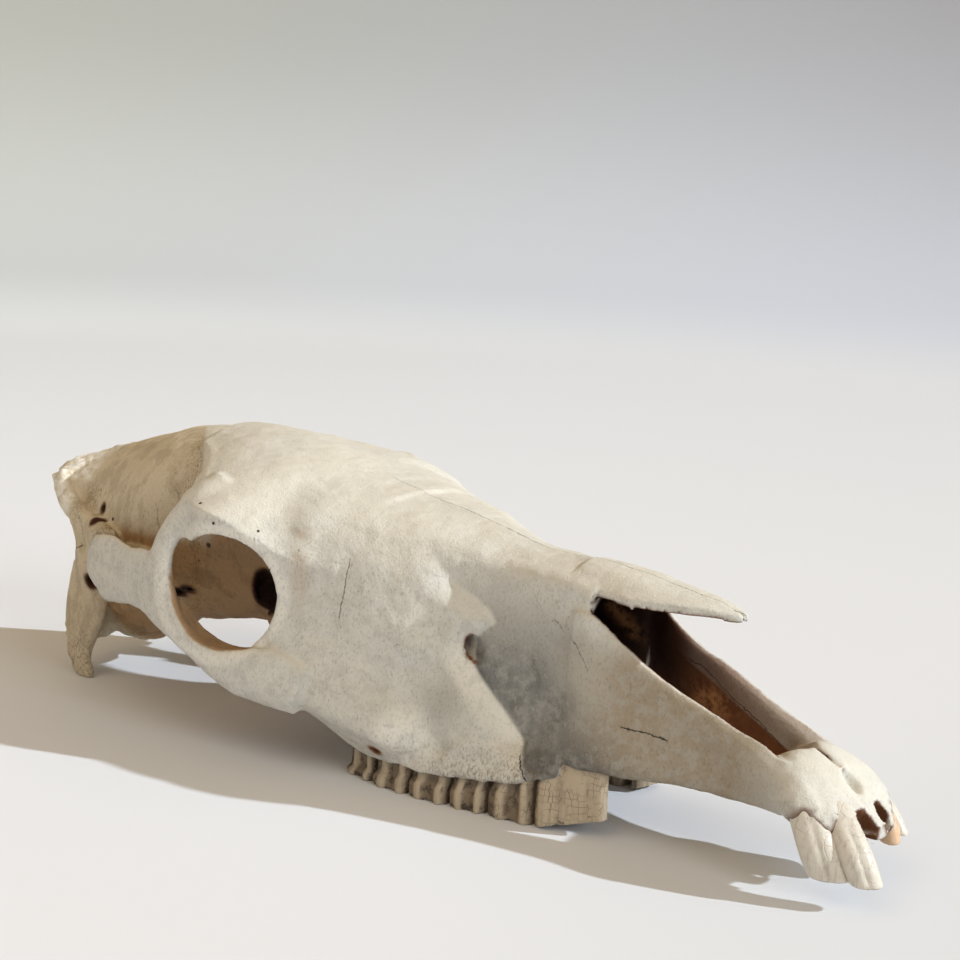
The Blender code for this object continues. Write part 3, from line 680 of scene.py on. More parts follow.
    # x, half width, widest height, top, bottom
    nasal_cavity: tuple = (
        (300, 9, 92, 106, 74),
        (330, 16, 90, 114, 66),
        (365, 20, 88, 119, 58),
        (386, 22.5, 86, 120.5, 55),
        (402, 25.5, 84, 119, 53),
        (430, 18.5, 80, 116, 50),
        (460, 16.5, 72, 112, 48),
        (484, 15.5, 66, 96, 47),
        (499, 13.5, 66, 90, 52),
        (508, 7, 70, 90, 60),
    )
    palate_vault: tuple = (
        (284, 16, 22, 33, -40),
        (300, 27, 20, 39, -40),
        (330, 30, 20, 41, -40),
        (365, 27, 22, 42, -40),
        (400, 24, 26, 43, -40),
        (430, 24, 30, 43, -40),
        (470, 16, 32, 43, -40),
        (505, 12, 24, 37, -40),
    )
    choana: tuple = (
        (150, 14, 40, 52, -40),
        (176, 17, 46, 60, -40),
        (206, 20, 50, 68, -40),
        (240, 21, 50, 68, -40),
        (270, 20, 44, 60, -40),
        (292, 12, 36, 48, -40),
    )
    # centre, radii
    sockets: tuple = (
        ((545, -9, 34), (8, 5, 8)),
        ((543.5, 6.5, 35), (6.5, 3.8, 7)),
    )


BOTH = (Side.RIGHT, Side.LEFT)
NEAR = (Side.RIGHT,)
FAR = (Side.LEFT,)


@dataclass(frozen=True)
class ReliefSizes:
    """Low forms of the surface, given on the left side, and the sides that have them."""

    # path from top to bottom, depth, length behind, length ahead, swelling behind
    folds: tuple = (
        (BOTH, ((290, 36, 133), (306.5, 41, 119), (317, 40, 109.6), (328, 37, 104.5),
                (337.5, 36, 98.8), (341.5, 37, 93.4), (336.6, 39, 87.7), (332, 41, 84.5),
                (331.2, 41, 76), (338.5, 43, 67.5), (346.8, 43, 59), (354.5, 43, 52),
                (362, 44, 45), (370, 45, 37.5), (378, 46, 28)), 6.2, 4.2, 22, 1.4),
        (BOTH, ((303, 62, 76), (306, 64, 66), (310, 66, 57), (313.2, 68.1, 48.4), (320.4, 67.1, 38.2),
                (326.5, 63.5, 32), (333, 58, 24)), 4.0, 3.6, 12, 1.2),
        (NEAR, ((364, 48.7, 47), (371.5, 47.5, 47.3), (376.5, 47.8, 43.4), (376.4, 50.2, 36.7),
                (375, 52, 29)), 1.8, 2.0, 5, 0.8),
    )
    # path, width, height
    ridges: tuple = (
        (BOTH, ((106.7, 26.3, 159), (118, 35, 157.5), (133.2, 44.7, 155.6), (150.6, 62, 150.7),
                (172, 87, 143.6)), 3.5, 0.9),
        (BOTH, ((268, 72, 27), (291.8, 69.4, 23.5), (307.8, 69, 24), (315.5, 70.2, 29)), 3.4, 1.5),
        (BOTH, ((268, 70, 19), (290, 66, 16), (308, 65, 17), (318, 64, 21)), 3.6, -1.8),
        (BOTH, ((19.9, 53.3, 103.1), (28.4, 57.4, 97.4), (32.9, 57.6, 89.9), (36, 58, 78)), 1.6, -1.6),
        (BOTH, ((10, 50, 100), (24, 56.5, 88), (32, 58.5, 78)), 2.6, 1.5),
        (BOTH, ((93.3, 51.5, 117.3), (95.5, 52.1, 110.4), (97, 51.5, 104)), 1.6, -1.1),
        (BOTH, ((107, 47.3, 128.5), (110.7, 48, 123.7), (114, 47.5, 118)), 1.6, -1.0),
        (BOTH, ((513, 26, 57), (524, 29, 50), (531, 31.5, 44)), 3.0, 0.8),
        (FAR, ((491, 13, 60.5), (499, 9, 61), (508.6, 3, 61.4), (514.8, 1.7, 59),
               (523.5, 0.5, 55)), 3.0, -1.2),
        (BOTH, ((150, 91, 84), (163, 93, 72), (178, 93, 62)), 3.0, 0.8),
        (BOTH, ((115.2, 36.7, 73.5), (125.5, 32.3, 71.7), (135.1, 27.4, 67.9),
                (144.6, 21.5, 63.3)), 2.2, 1.6),
        (BOTH, ((109.7, 30, 62.3), (120.7, 22.1, 58.2), (127, 9.8, 51.3)), 2.0, 1.3),
        (BOTH, ((112, 40, 82), (131.5, 36, 80), (144, 31, 74)), 2.6, -1.2),
        (BOTH, ((131.5, 40.5, 90.9), (148.7, 37.2, 89.8), (155, 35, 87)), 3.0, -1.2),
    )
    # centre, radii, height
    swellings: tuple = (
        (BOTH, (350, 54, 46), (9, 8, 12), 1.6),
        (BOTH, (300, 74, 44), (14, 9, 9), 1.6),
        (BOTH, (242.2, 75, 117.5), (6, 5, 5), 1.5),
        (BOTH, (250, 72, 104), (14, 10, 12), -1.2),
        (BOTH, (406, 38, 56), (13, 8, 14), -1.3),
        (BOTH, (462, 24, 52), (16, 8, 9), -1.2),
        (BOTH, (89, 60.5, 94), (10, 6, 6), -1.6),
        (BOTH, (60, 66, 99), (5, 4, 3.5), 2.0),
        (BOTH, (68, 64, 101), (3.5, 3.5, 3), 2.2),
        (BOTH, (54, 64, 97), (3, 3, 3), 1.4),
        (BOTH, (60, 56, 104), (9, 6, 7), -1.8),
        (BOTH, (2, 43, 111), (11, 8, 9), -1.6),
        (BOTH, (40, 39, 44), (2.4, 3, 3.4), 2.4),
        (BOTH, (47, 38.5, 47), (2.4, 3, 3.4), 2.4),
        (BOTH, (53, 37.5, 49), (2.2, 3, 3), 1.8),
        (FAR, (243, 76, 121), (5, 4, 3.5), 1.8),
        (FAR, (257, 68, 118), (3.5, 3.5, 3), 1.2),
        (BOTH, (188, 101, 131), (16, 6, 10), 0.9),
    )
    # path, half height and half thickness at its points
    channels: tuple = (
        (BOTH, ((353, 48, 74), (344, 45, 77), (332, 40, 80), (318, 36, 82)),
         ((8, 2.0), (7.8, 3.6), (6.5, 3.6), (4, 3))),
        (BOTH, ((183.5, 54, 81), (173.5, 40, 78), (165.5, 29, 75), (158.5, 20, 72)),
         ((12.5, 7.5), (13.5, 8), (12.5, 7.5), (9, 6))),
        (BOTH, ((96, 37, 65), (99, 30, 66)), ((2.4, 4.2), (2.0, 3.4))),
        (BOTH, ((104, 38, 67.5), (108, 31, 69)), ((1.5, 3.4), (1.2, 2.6))),
        (FAR, ((494, 12, 61), (501, 8, 61.5), (508.6, 2.6, 61.2), (514.8, 1.7, 59),
               (519.3, 1.2, 57), (524, 0.5, 55)),
         ((3, 0.8), (4.2, 1.3), (4.2, 1.2), (4, 1.3), (3.6, 1.0), (2.4, 0.6))),
        (NEAR, ((455, 0, 121), (463, 0, 118.3), (471, 0, 116)), ((3, 0.5), (4, 0.9), (4, 1.6))),
        (BOTH, ((41, 62, 61), (37, 55, 63), (34, 46, 66)), ((4.6, 4.2), (4, 3.4), (3, 3))),
        (BOTH, ((34.8, 50, 108.6), (35.6, 43, 107.4)), ((2.6, 2.2), (1.6, 1.6))),
        (BOTH, ((43, 60, 104), (44, 52, 102.5)), ((3.0, 2.0), (2.0, 1.5))),
        (NEAR, ((293.5, 72, 20.4), (293.5, 63, 22)), ((1.8, 3.0), (1.4, 2.2))),
    )
    # centre and radius of small dark pits
    pits: tuple = (
        (BOTH, (306.3, 46.1, 115.4), 1.1), (NEAR, (311.7, 46.5, 110.6), 0.7),
        (NEAR, (327.3, 38.7, 113.3), 1.1), (NEAR, (355.1, 33.6, 108.8), 0.8),
        (NEAR, (348.8, 34.7, 109.9), 0.7), (BOTH, (239.5, 75.5, 118.6), 1.3),
        (BOTH, (244.5, 73.5, 114.3), 1.2), (NEAR, (218.8, 86.1, 127.6), 0.8),
        (NEAR, (223.7, 87.2, 112.3), 0.9), (NEAR, (227.2, 85.2, 107.8), 0.8),
        (BOTH, (183.5, 95.5, 137.6), 1.3), (BOTH, (186.5, 98.5, 133.2), 1.5),
        (BOTH, (198.1, 98.8, 130.1), 1.1), (BOTH, (148.9, 30, 78.7), 1.8),
        (BOTH, (131.6, 43.2, 100.2), 1.6), (BOTH, (122.2, 41.6, 89.4), 1.3),
        (NEAR, (51.3, 50.8, 104.0), 1.2), (NEAR, (450, 25, 66), 0.6),
        (NEAR, (386, 43, 70), 0.8), (NEAR, (391, 41, 62), 0.6), (NEAR, (500, 24, 52), 0.7),
        (FAR, (430, 21.5, 76), 1.0), (BOTH, (166, 80, 146.5), 0.9), (NEAR, (300, 62, 78), 0.6),
        (NEAR, (286, 66, 70), 0.7), (NEAR, (120, 47, 121), 1.0), (NEAR, (70, 53, 118), 0.9),
    )
    # spacing and height of the uneven surface, and of the worn places on it
    uneven: tuple = ((28, 0.9), (9.5, 0.4), (3.7, 0.2))
    worn: tuple = (3.2, 1.1)


# x and height of the edge that the cheek teeth stand out of
GUM = ((262, 4), (266, 5), (282, 8), (295, 9), (309, 12), (320, 10), (333, 13.5), (345, 15), (356, 17.5),
       (368, 17.6), (382, 24), (390, 25), (396, 24), (419, 30))

@dataclass(frozen=True)
class FrontTooth:
    """Cropping tooth: an oval body with a groove along both faces and a level worn edge."""

    name: str
    side: Side
    across: tuple                   # direction of the width
    rows: tuple                     # centre, half width, half thickness, from the root to the worn edge
    around: int = 48                # points round the tooth
    grooves: tuple = (0.54, 1.5)    # places round the tooth, in half turns
    groove_width: float = 0.24      # radians
    groove_depth: float = 0.12      # as a share of the way to the middle
    groove_reach: tuple = (0.36, 0.56)      # shares of the length where it begins and is full
    edge: tuple = ((0.93, 0.9), (0.78, 1.5), (0.5, 1.7))    # size and reach of the rings past the edge
    # darkening of a groove: stain, and painted shade
    groove_shade_and_stain: float = 0.5            # what the mask loses in a groove
    worn: float = 0.55              # mask on the worn edge

    def build(self, grow: float = 0.0) -> tuple[Surface, Array]:
        """Swept oval, less exp(-(angle / width)^2) in its grooves, cut level at its lower end.

        Args:
            grow: amount added all round.

        Returns:
            The surface, and at its points 1 on the enamel and less in the grooves and on the worn edge.
        """
        rows = [(point, wide + grow, thick + grow) for point, wide, thick in self.rows]
        body = swept(rows, self.across, 8, self.around)
        rings = body.points[:-2].reshape(-1, self.around, 3)
        middle = rings.mean(axis=1, keepdims=True)
        along = np.linspace(0, 1, len(rings))
        angle = np.linspace(0, 2 * math.pi, self.around, endpoint=False)
        groove = sum(np.exp(-((angle - math.pi * turn) / self.groove_width) ** 2) for turn in self.grooves)
        sunk = eased(along, *self.groove_reach)[:, None] * groove
        rings = rings + (middle - rings) * self.groove_depth * sunk[..., None]
        ahead = (middle[-1] - middle[-2])[0]
        ahead /= np.linalg.norm(ahead)
        level = eased(along, 0.5, 1.0)[:, None, None]
        rings = rings + ahead * level * ((middle - rings)[..., 2:] / ahead[2])
        ends = [middle[-1] + (rings[-1] - middle[-1]) * share + ahead * further
                for share, further in self.edge]
        mask = np.concatenate([1 - self.groove_shade_and_stain * sunk.ravel(), np.full(len(ends) * self.around, self.worn),
                               [1, 0.5]])
        return Surface.of_rings(np.concatenate([rings, np.array(ends)])).mirrored(self.side), mask


FRONT_TEETH = (
    FrontTooth("i3", Side.RIGHT, (0.84, -0.54, 0), (
        ((511, 17, 52), 5.5, 4.5), ((520.5, 27.5, 42.5), 7.4, 6.0), ((532, 31.5, 26), 9.0, 6.2),
        ((538.2, 31, 14.5), 8.8, 5.0))),
    FrontTooth("i2", Side.RIGHT, (0.67, -0.74, 0), (
        ((522, 12, 46), 5.2, 4.4), ((532.7, 18, 39.3), 7.4, 5.3), ((546.5, 24.2, 25.5), 7.8, 5.6),
        ((553.2, 24.8, 14), 7.2, 4.8))),
    FrontTooth("i3", Side.LEFT, (0.84, -0.54, 0), (
        ((511, 19, 50), 6.0, 5.0), ((525, 24, 40), 7.4, 5.6), ((535.5, 25, 31), 8.0, 5.6),
        ((541, 24.5, 24), 7.8, 4.8))),
    FrontTooth("i2", Side.LEFT, (0.67, -0.74, 0), (
        ((523, 12, 46), 5.6, 5.0), ((533, 15.5, 36), 6.6, 5.4), ((540.5, 17, 28), 7.0, 5.8),
        ((543, 16.5, 21.5), 6.6, 5.2))),
)


@dataclass(frozen=True)
class Zone:
    """Stretch of bone, where each named value is eased from where it starts to where it is full."""

    spans: tuple                    # name of a value, where it starts, where it is full
    strength: float = 1.0

    def at(self, values: dict[str, Array]) -> Array:
        """Strength at points: the product of the eased steps of their values."""
        made = 1.0
        for name, start, full in self.spans:
            made = made * eased(values[name], start, full)
        return made * self.strength


@dataclass(frozen=True)
class WornZones:
    """Stretches where the surface is rough and broken."""

    gum_reach: tuple = (262, 420)   # x from the last cheek tooth to the first
    gum_height: float = 4.0
    places: tuple = (
        Zone((("x", 22, -4), ("z", 108, 118)), 0.9),                                # nuchal crest
        Zone((("side", 52, 58), ("x", 42, 50), ("x", 78, 72), ("z", 92, 97))),      # root of the arch
        Zone((("x", 60, 50), ("z", 44, 30)), 0.8),                                  # lower end of the back
        Zone((("x", 508, 520), ("z", 47, 41)), 0.6),                                # sockets in front
    )


def gum_at(x: Array) -> Array:
    """Height of the gum edge at x."""
    return np.interp(x, [row[0] for row in GUM], [row[1] for row in GUM])


@dataclass
class Skull:
    """All bones of the skull, modelled as one form and parted at their sutures."""

    sizes: SkullSizes = field(default_factory=SkullSizes)
    details: ReliefSizes = field(default_factory=ReliefSizes)
    lattice: Lattice = field(default_factory=Lattice)
    socket_rim: float = -0.2        # dark rim round a front tooth

    def masses(self) -> None:
        """Join every bone mass."""
        sizes, add = self.sizes, self.lattice.join
        rods = (sizes.arch, sizes.shelf, sizes.orbit_bar, sizes.temporal_ridge, sizes.paracondylar,
                sizes.pterygoid, sizes.hamulus)
        add(along_x(sizes.braincase, lambda row: oval(*row)))
        add(along_x([(x, *np.ravel(points)) for x, points in sizes.face], face_section), ease=6.0)
        add(along_x(sizes.forehead, roof_section), ease=5.0)
        add(along_x(sizes.nasal, roof_section), ease=2.0)
        add(along_x(sizes.muzzle_body, lambda row: oval(*row, power_bottom=2.4)))
        for side in Side:
            add(self.wall_of_muzzle(side).mirrored(side), ease=3.0)
            for rod in rods:
                add(swept(rod.rows, rod.across).mirrored(side), rod.ease)
            for centre, radii in sizes.knobs:
                add(ellipsoid(centre, radii).mirrored(side), ease=5.0)

    def wall_of_muzzle(self, side: Side) -> Surface:
        """Side wall of the muzzle, an eight-point ring between its rim and its lower edge.

        The left rim stands higher and further out, by a hump exp(-((x - middle) / length)^2).

        Args:
            side: side of the skull that it is for; the wall itself is made on the left.
        """
        middle_x, length, out, up, thicker = self.sizes.left_hump
        rings = []
        for x, ty, tz, ly, lz, top, middle, low in spline(self.sizes.muzzle_wall, 6):
            hump = math.exp(-((x - middle_x) / length) ** 2) * (side is Side.LEFT)
            ty, tz, top = ty + out * hump, tz + up * hump, top + thicker * hump
            my, mz = ty * 0.6 + ly * 0.4, (tz + lz) / 2
            ring = [(ty, tz), (ty + top, tz - top), (my + middle, mz), (ly + low * 0.4, lz + low),
                    (ly, lz - 3), (ly - low * 1.4, lz), (my - middle, mz), (ty - top, tz - top)]
            rings.append(np.insert(spline(ring + ring[:1], 4)[:-1], 0, x, axis=1))
        return Surface.of_rings(np.array(rings))

    def hollows(self) -> None:
        """Take the openings out."""
        sizes, take = self.sizes, self.lattice.cut
        for table, ease, tone in ((sizes.nasal_cavity, 2.0, Tone.NASAL),
                                  (sizes.palate_vault, 3.0, Tone.UNDER),
                                  (sizes.choana, 3.0, Tone.UNDER)):
            take(along_x(table, lambda row: oval(*row, 2.2, 2.2)), ease, tone)
        take(ellipsoid(*sizes.foramen_magnum), 3.0, Tone.NASAL)
        take(ellipsoid(*sizes.muzzle_hole))
        for side in Side:
            rings = []
            for y, x, z, length, height in spline(sizes.orbit, 6):
                ring = oval(length, 0, height, -height)
                rings.append(np.column_stack([x + ring[:, 0], np.full(len(ring), y), z + ring[:, 1]]))
            take(Surface.of_rings(np.array(rings)).mirrored(side), 2.5, Tone.ORBIT)
            take(ellipsoid(*sizes.nape_hollow).mirrored(side), ease=4.0)
        for centre, radii in sizes.sockets:
            take(ellipsoid(centre, radii), 0.6, Tone.NASAL, reach=1.5)
        for tooth in FRONT_TEETH:
            self.lattice.mark(tooth.build(self.socket_rim)[0], Tone.NASAL)

    def relief(self) -> None:
        """Raise and sink the low forms, then make the whole surface a little uneven."""
        details, relief = self.details, Relief(self.lattice)
        for sides, path, depth, behind, ahead, swell in details.folds:
            for side in sides:
                relief.fold(path, depth, behind, ahead, side, swell)
        for sides, path, width, height in details.ridges:
            for side in sides:
                relief.line(path, width, height, side)
        for sides, centre, radii, height in details.swellings:
            for side in sides:
                relief.spot(centre, radii, height, side)
        for sides, path, radii in details.channels:
            for side in sides:
                relief.hole(path, radii, side)
        random = np.random.default_rng(SEED)
        for wave, height in details.uneven:
            relief.uneven(wave, height, random)
        relief.uneven(*details.worn, random, self.worn_places)

    @staticmethod
    def worn_places(points: Array) -> Array:
        """Strength of the rough surface at points: the worn zones and the gum edge."""
        x, y, z = points.T
        zones = WornZones()
        values = {"x": x, "z": z, "side": np.abs(y)}
        at_teeth = (x > zones.gum_reach[0]) & (x < zones.gum_reach[1]) & (values["side"] > 30)
        gum_edge = np.exp(-((z - gum_at(x) - 1) / zones.gum_height) ** 2) * at_teeth
        return np.maximum.reduce([gum_edge] + [zone.at(values) for zone in zones.places]).astype(np.float32)

    def build(self) -> None:
        """Make the whole form, with the left process broken off and nothing below the floor."""
        self.masses()
        self.hollows()
        self.relief()
        self.lattice.trim(*self.sizes.stump_box, self.broken_edge)
        self.lattice.trim(self.lattice.low, self.lattice.high, lambda x, y: 0 * x + 0 * y)

    def broken_edge(self, x: Array, y: Array) -> Array:
        """Height of the break: two crossed waves, 1.8 and 1.2 high, round the stump's height."""
        return self.sizes.stump_height + 1.8 * np.sin(x / 3.1 + y / 2.3) + 1.2 * np.sin(x / 1.7 - y / 4.1)


# ------------------------------------------------------------------ bones out of the form
class Bone(Enum):
    """Bones and the record's node that each stands for."""

    NASAL = "nasal"
    PREMAXILLA = "premaxilla"
    ZYGOMATIC = "zygomatic"
    PALATINE = "palatine"
    MAXILLA = "maxilla"
    FRONTAL = "frontal"
    TEMPORAL = "temporal"
    OCCIPITAL = "occipital"
    SPHENOID = "sphenoid"
    PARIETAL = "parietal"


OUTLINES_SIDE = {
    Bone.NASAL: [(250, 134), (290, 129), (330, 120), (384, 112), (500, 104), (500, 220), (250, 220)],
    Bone.PREMAXILLA: [(394, 113), (404, 103), (420, 80), (436, 54), (448, 30), (448, -50), (620, -50),
                      (620, 113)],
    Bone.ZYGOMATIC: [(119, 120), (140, 112), (178, 101), (221, 101), (246, 84), (272, 52), (272, 10),
                     (110, 10)],
    Bone.PALATINE: [(120, 64), (224, 64), (250, 57), (262, 40), (262, -50), (120, -50)],
    Bone.MAXILLA: [(256, 220), (244, 150), (234, 122), (224, 96), (206, 76), (206, -50), (460, -50),
                   (460, 220)],
    Bone.FRONTAL: [(104, 220), (110, 160), (122, 150), (128, 132), (137, 100), (240, 96), (262, 220)],
    Bone.OCCIPITAL: [(-60, 200), (2, 200), (10, 112), (34, 84), (48, 52), (60, -50), (-60, -50)],
    Bone.TEMPORAL: [(0, 118), (40, 116), (90, 120), (134, 118), (134, 40), (30, 40)],
    Bone.SPHENOID: [(60, 60), (110, 78), (150, 92), (280, 92), (280, -50), (40, -50)],
    Bone.PARIETAL: [(-60, 300), (700, 300), (700, -60), (-60, -60)],
}
OUTLINES_TOP = {
    Bone.NASAL: [(258, 0), (258, 3), (290, 18), (330, 26), (402, 26.5), (432, 40), (500, 40), (500, 0)],
    Bone.ZYGOMATIC: [(118, 66), (160, 66), (206, 70), (236, 75), (268, 66), (276, 120), (104, 120)],
    Bone.PALATINE: [(120, 0), (120, 36), (262, 36), (272, 0)],
    Bone.TEMPORAL: [(-10, 34), (150, 34), (150, 120), (-10, 120)],
}
SINGLE_BONES = (Bone.OCCIPITAL, Bone.PARIETAL, Bone.SPHENOID)
CRANIUM_BONES = (Bone.OCCIPITAL, Bone.PARIETAL, Bone.SPHENOID, Bone.TEMPORAL)


def inside(outline: Sequence[Row], a: Array, b: Array) -> Array:
    """Whether each sample (a, b) of a plane lattice lies in an outline, by counting crossings.

    Args:
        outline: corners in order.
        a: first coordinates of the lattice.
        b: second coordinates of the lattice.

    Returns:
        Mask of shape (len(a), len(b)).
    """
    points = np.asarray(outline, float)
    hit = np.zeros((len(a), len(b)), bool)
    for (x0, z0), (x1, z1) in zip(points, np.roll(points, -1, axis=0)):
        if x0 == x1:
            continue
        spans = (a >= min(x0, x1)) & (a < max(x0, x1))
        level = z0 + (z1 - z0) * (a - x0) / (x1 - x0)
        hit ^= spans[:, None] & (b[None, :] < level[:, None])
    return hit


@dataclass
class Mesher:
    """Turns the labelled lattice into one closed mesh for each label.

    Each lattice cell that holds a change of label has one point, the mean of the places where the
    form's distance passes zero on its edges. Each lattice edge whose ends differ in label has one
    four-sided face, between the points of the four cells round it.
    """

    lattice: Lattice
    labels: Array
    rounds: int = 2

    @staticmethod
    def ends(values: Array, axis: int) -> tuple[Array, Array]:
        """Values at the two ends of each lattice step along an axis."""
        before, after = [slice(None)] * 3, [slice(None)] * 3
        before[axis], after[axis] = slice(0, -1), slice(1, None)
        return values[tuple(before)], values[tuple(after)]

    @staticmethod
    def beside(index: Sequence[Array], axes: Sequence[int], back: Sequence[int]) -> list[Array]:
        """Cells beside lattice steps.

        Args:
            index: places of the steps.
            axes: the two axes across the steps.
            back: how many cells back along each of these axes.
        """
        cell = list(index)
        for axis, count in zip(axes, back):
            cell[axis] = cell[axis] - count
        return cell

    def cells(self) -> tuple[Array, Array]:
        """Number of each cell that holds a change, and the cells' points."""
        form, labels = self.lattice.form, self.labels
        shape = np.array(form.shape) - 1
        sums = np.zeros((*shape, 3), np.float32)
        weight = np.zeros(shape, np.float32)
        plain = np.zeros((*shape, 3), np.float32)
        plain_weight = np.zeros(shape, np.float32)
        for axis in range(3):
            a, b = self.ends(form, axis)
            la, lb = self.ends(labels, axis)
            index = np.nonzero(la != lb)
            outer = (la[index] == 0) | (lb[index] == 0)
            va, vb = a[index], b[index]
            t = np.where(outer, np.clip(va / np.where(va == vb, 1, va - vb), 0, 1), 0.5).astype(np.float32)
            position = np.stack(index, -1).astype(np.float32)
            position[:, axis] += t
            others = [i for i in range(3) if i != axis]
            for back in np.ndindex(2, 2):
                cell = self.beside(index, others, back)
                fits = np.all([(c >= 0) & (c < s) for c, s in zip(cell, shape)], axis=0)
                for chosen, total, count in ((outer, sums, weight), (~outer, plain, plain_weight)):
                    meant = fits & chosen
                    flat = np.ravel_multi_index(tuple(c[meant] for c in cell), shape)
                    amount = np.bincount(flat)
                    found = np.nonzero(amount)[0]
                    count.reshape(-1)[found] += amount[found]
                    for k in range(3):
                        part = np.bincount(flat, weights=position[meant, k])
                        total.reshape(-1, 3)[found, k] += part[found]
        only_plain = (weight == 0) & (plain_weight > 0)
        sums[only_plain] = plain[only_plain]
        weight[only_plain] = plain_weight[only_plain]
        active = np.nonzero(weight.reshape(-1) > 0)[0]
        number = np.full(weight.size, -1, np.int32)
        number[active] = np.arange(len(active), dtype=np.int32)
        points = sums.reshape(-1, 3)[active] / weight.reshape(-1)[active, None]
        return number.reshape(shape), points

    def faces(self, number: Array) -> tuple[Array, Array, Array]:
        """Faces with the label that each has inside and outside; they turn towards the outside."""
        quads, inner, outer = [], [], []
        for axis in range(3):
            la, lb = self.ends(self.labels, axis)
            index = np.nonzero(la != lb)
            others = ((axis + 1) % 3, (axis + 2) % 3)
            corners = [number[tuple(self.beside(index, others, back))]
                       for back in ((1, 1), (0, 1), (0, 0), (1, 0))]
            quads.append(np.stack(corners, -1))
            inner.append(la[index])
            outer.append(lb[index])
        return np.concatenate(quads), np.concatenate(inner), np.concatenate(outer)

    @staticmethod
    def relaxed(points: Array, quads: Array, rounds: int) -> Array:
        """Points eased towards the mean of their neighbours, then back by almost as much."""
        ends = np.concatenate([quads[:, [0, 1]], quads[:, [1, 2]], quads[:, [2, 3]], quads[:, [3, 0]]])
        count = np.bincount(ends.ravel(), minlength=len(points)).astype(np.float32)
        moved = points.copy()
        for _ in range(rounds):
            for share in (0.5, -0.48):
                mean = np.empty_like(moved)
                for k in range(3):
                    mean[:, k] = sum(np.bincount(ends[:, one], weights=moved[ends[:, 1 - one], k],
                                                 minlength=len(points)) for one in (0, 1))
                mean /= np.maximum(count, 1)[:, None]
                moved = np.where(count[:, None] > 0, moved + share * (mean - moved), moved)
        return moved

    def build(self) -> dict[int, tuple[Array, Array, Array]]:
        """Mesh of each label.

        Returns:
            For each label: its faces as point numbers, its points (mm), and their numbers.
        """
        number, points = self.cells()
        quads, inner, outer = self.faces(number)
        skin = (inner == 0) | (outer == 0)
        points = self.relaxed(points, quads[skin], self.rounds)
        self.points = points * self.lattice.grain + np.asarray(self.lattice.low)
        self.points[:, 2] = np.maximum(self.points[:, 2], 0)
        self.skin = quads[skin]
        self.skin = np.where((inner[skin] > 0)[:, None], self.skin, self.skin[:, ::-1])
        made = {}
        for label in np.unique(self.labels):
            if label == 0:
                continue
            own = np.concatenate([quads[inner == label], quads[outer == label][:, ::-1]])
            used, local = np.unique(own, return_inverse=True)
            made[int(label)] = (local.reshape(-1, 4), self.points[used], used)
        return made


def blurred(values: Array, radius: int) -> Array:
    """Mean over a cube of 2 radius + 1 samples, one axis after another by running sums."""
    made = values.astype(np.float32)
    for axis in range(3):
        padding = [(0, 0)] * 3
        padding[axis] = (radius + 1, radius)
        total = np.cumsum(np.pad(made, padding, mode="edge"), axis=axis, dtype=np.float64)
        upper = [slice(None)] * 3
        lower = [slice(None)] * 3
        upper[axis] = slice(2 * radius + 1, None)
        lower[axis] = slice(0, -(2 * radius + 1))
        made = ((total[tuple(upper)] - total[tuple(lower)]) / (2 * radius + 1)).astype(np.float32)
    return made


def eased(value: Array, low: float, high: float) -> Array:
    """0 below low, 1 above high and 3t^2 - 2t^3 between; low may be the greater."""
    t = np.clip((value - low) / (high - low), 0, 1)
    return t * t * (3 - 2 * t)


@dataclass(frozen=True)
class Seam:
    """Crack or suture: its route on the left side, how dark it is and the side that it is on."""

    path: tuple
    strength: float = 1.0
    side: Side = Side.RIGHT


SEAMS = (
    Seam(((238, 0, 149), (260, 0, 146), (300, 0, 139), (340, 0, 131), (400, 0, 127.5), (440, 0, 122),
          (467, 0, 117)), 0.6),
    Seam(((265.5, 64.3, 113.8), (266.4, 67, 106.8), (267.3, 69.7, 97.7), (267.5, 71.2, 92.6),
          (268, 72.9, 86.6)), 0.7),
    Seam(((268, 72.9, 86.6), (269.2, 76.3, 71.2), (269.9, 80.7, 56), (268.4, 83.6, 42.7)), 0.14),
    Seam(((306.3, 46.1, 115.4), (318, 41.5, 114.5), (327.3, 38.7, 113.3), (340, 36, 111.5),
          (355.1, 33.6, 108.8)), 0.2),
    Seam(((363, 32.3, 110.1), (367.1, 33.1, 105.9), (373.3, 34, 100), (376.8, 33, 101.6),
          (382.7, 33.6, 96.7), (389.8, 36.3, 94.5), (394.6, 36.6, 90.4), (400.7, 36.6, 84.1)), 0.5),
    Seam(((374.3, 47.5, 45.4), (373.8, 49.6, 39.5), (375.3, 51.8, 32.6), (379.2, 52.9, 26.1)), 1.0),
    Seam(((428, 35.2, 57.8), (436, 33, 57.4), (444.3, 30.9, 56.3)), 1.0),
    Seam(((389.8, 43.3, 65.2), (388.5, 47.1, 52.9), (396.9, 47.6, 44.8)), 0.25),
    Seam(((24.4, 56.3, 80.2), (29.5, 57.3, 83.7)), 1.0),
    Seam(((19.9, 53.3, 103.1), (28.4, 57.4, 97.4), (32.9, 57.6, 89.9)), 0.5),
    Seam(((93.3, 51.5, 117.3), (95.5, 52.1, 110.4), (97, 51.5, 104)), 0.45),
    Seam(((107, 47.3, 128.5), (110.7, 48, 123.7), (114, 47.5, 118)), 0.4),
    Seam(((410.7, 26.1, 83.5), (420.3, 23.8, 81.1), (431, 21.6, 78.5), (444.5, 20.1, 70.3),
          (460.7, 18.2, 63), (473.1, 17.4, 57), (480.3, 17.1, 52.7)), 0.9, Side.LEFT),
    Seam(((96.8, 34.8, 65.6), (101.6, 34.2, 67), (109, 33.5, 69.5)), 1.0),
    Seam(((539, 23, 42), (540.5, 19, 37), (542.7, 14, 33)), 1.0),
)


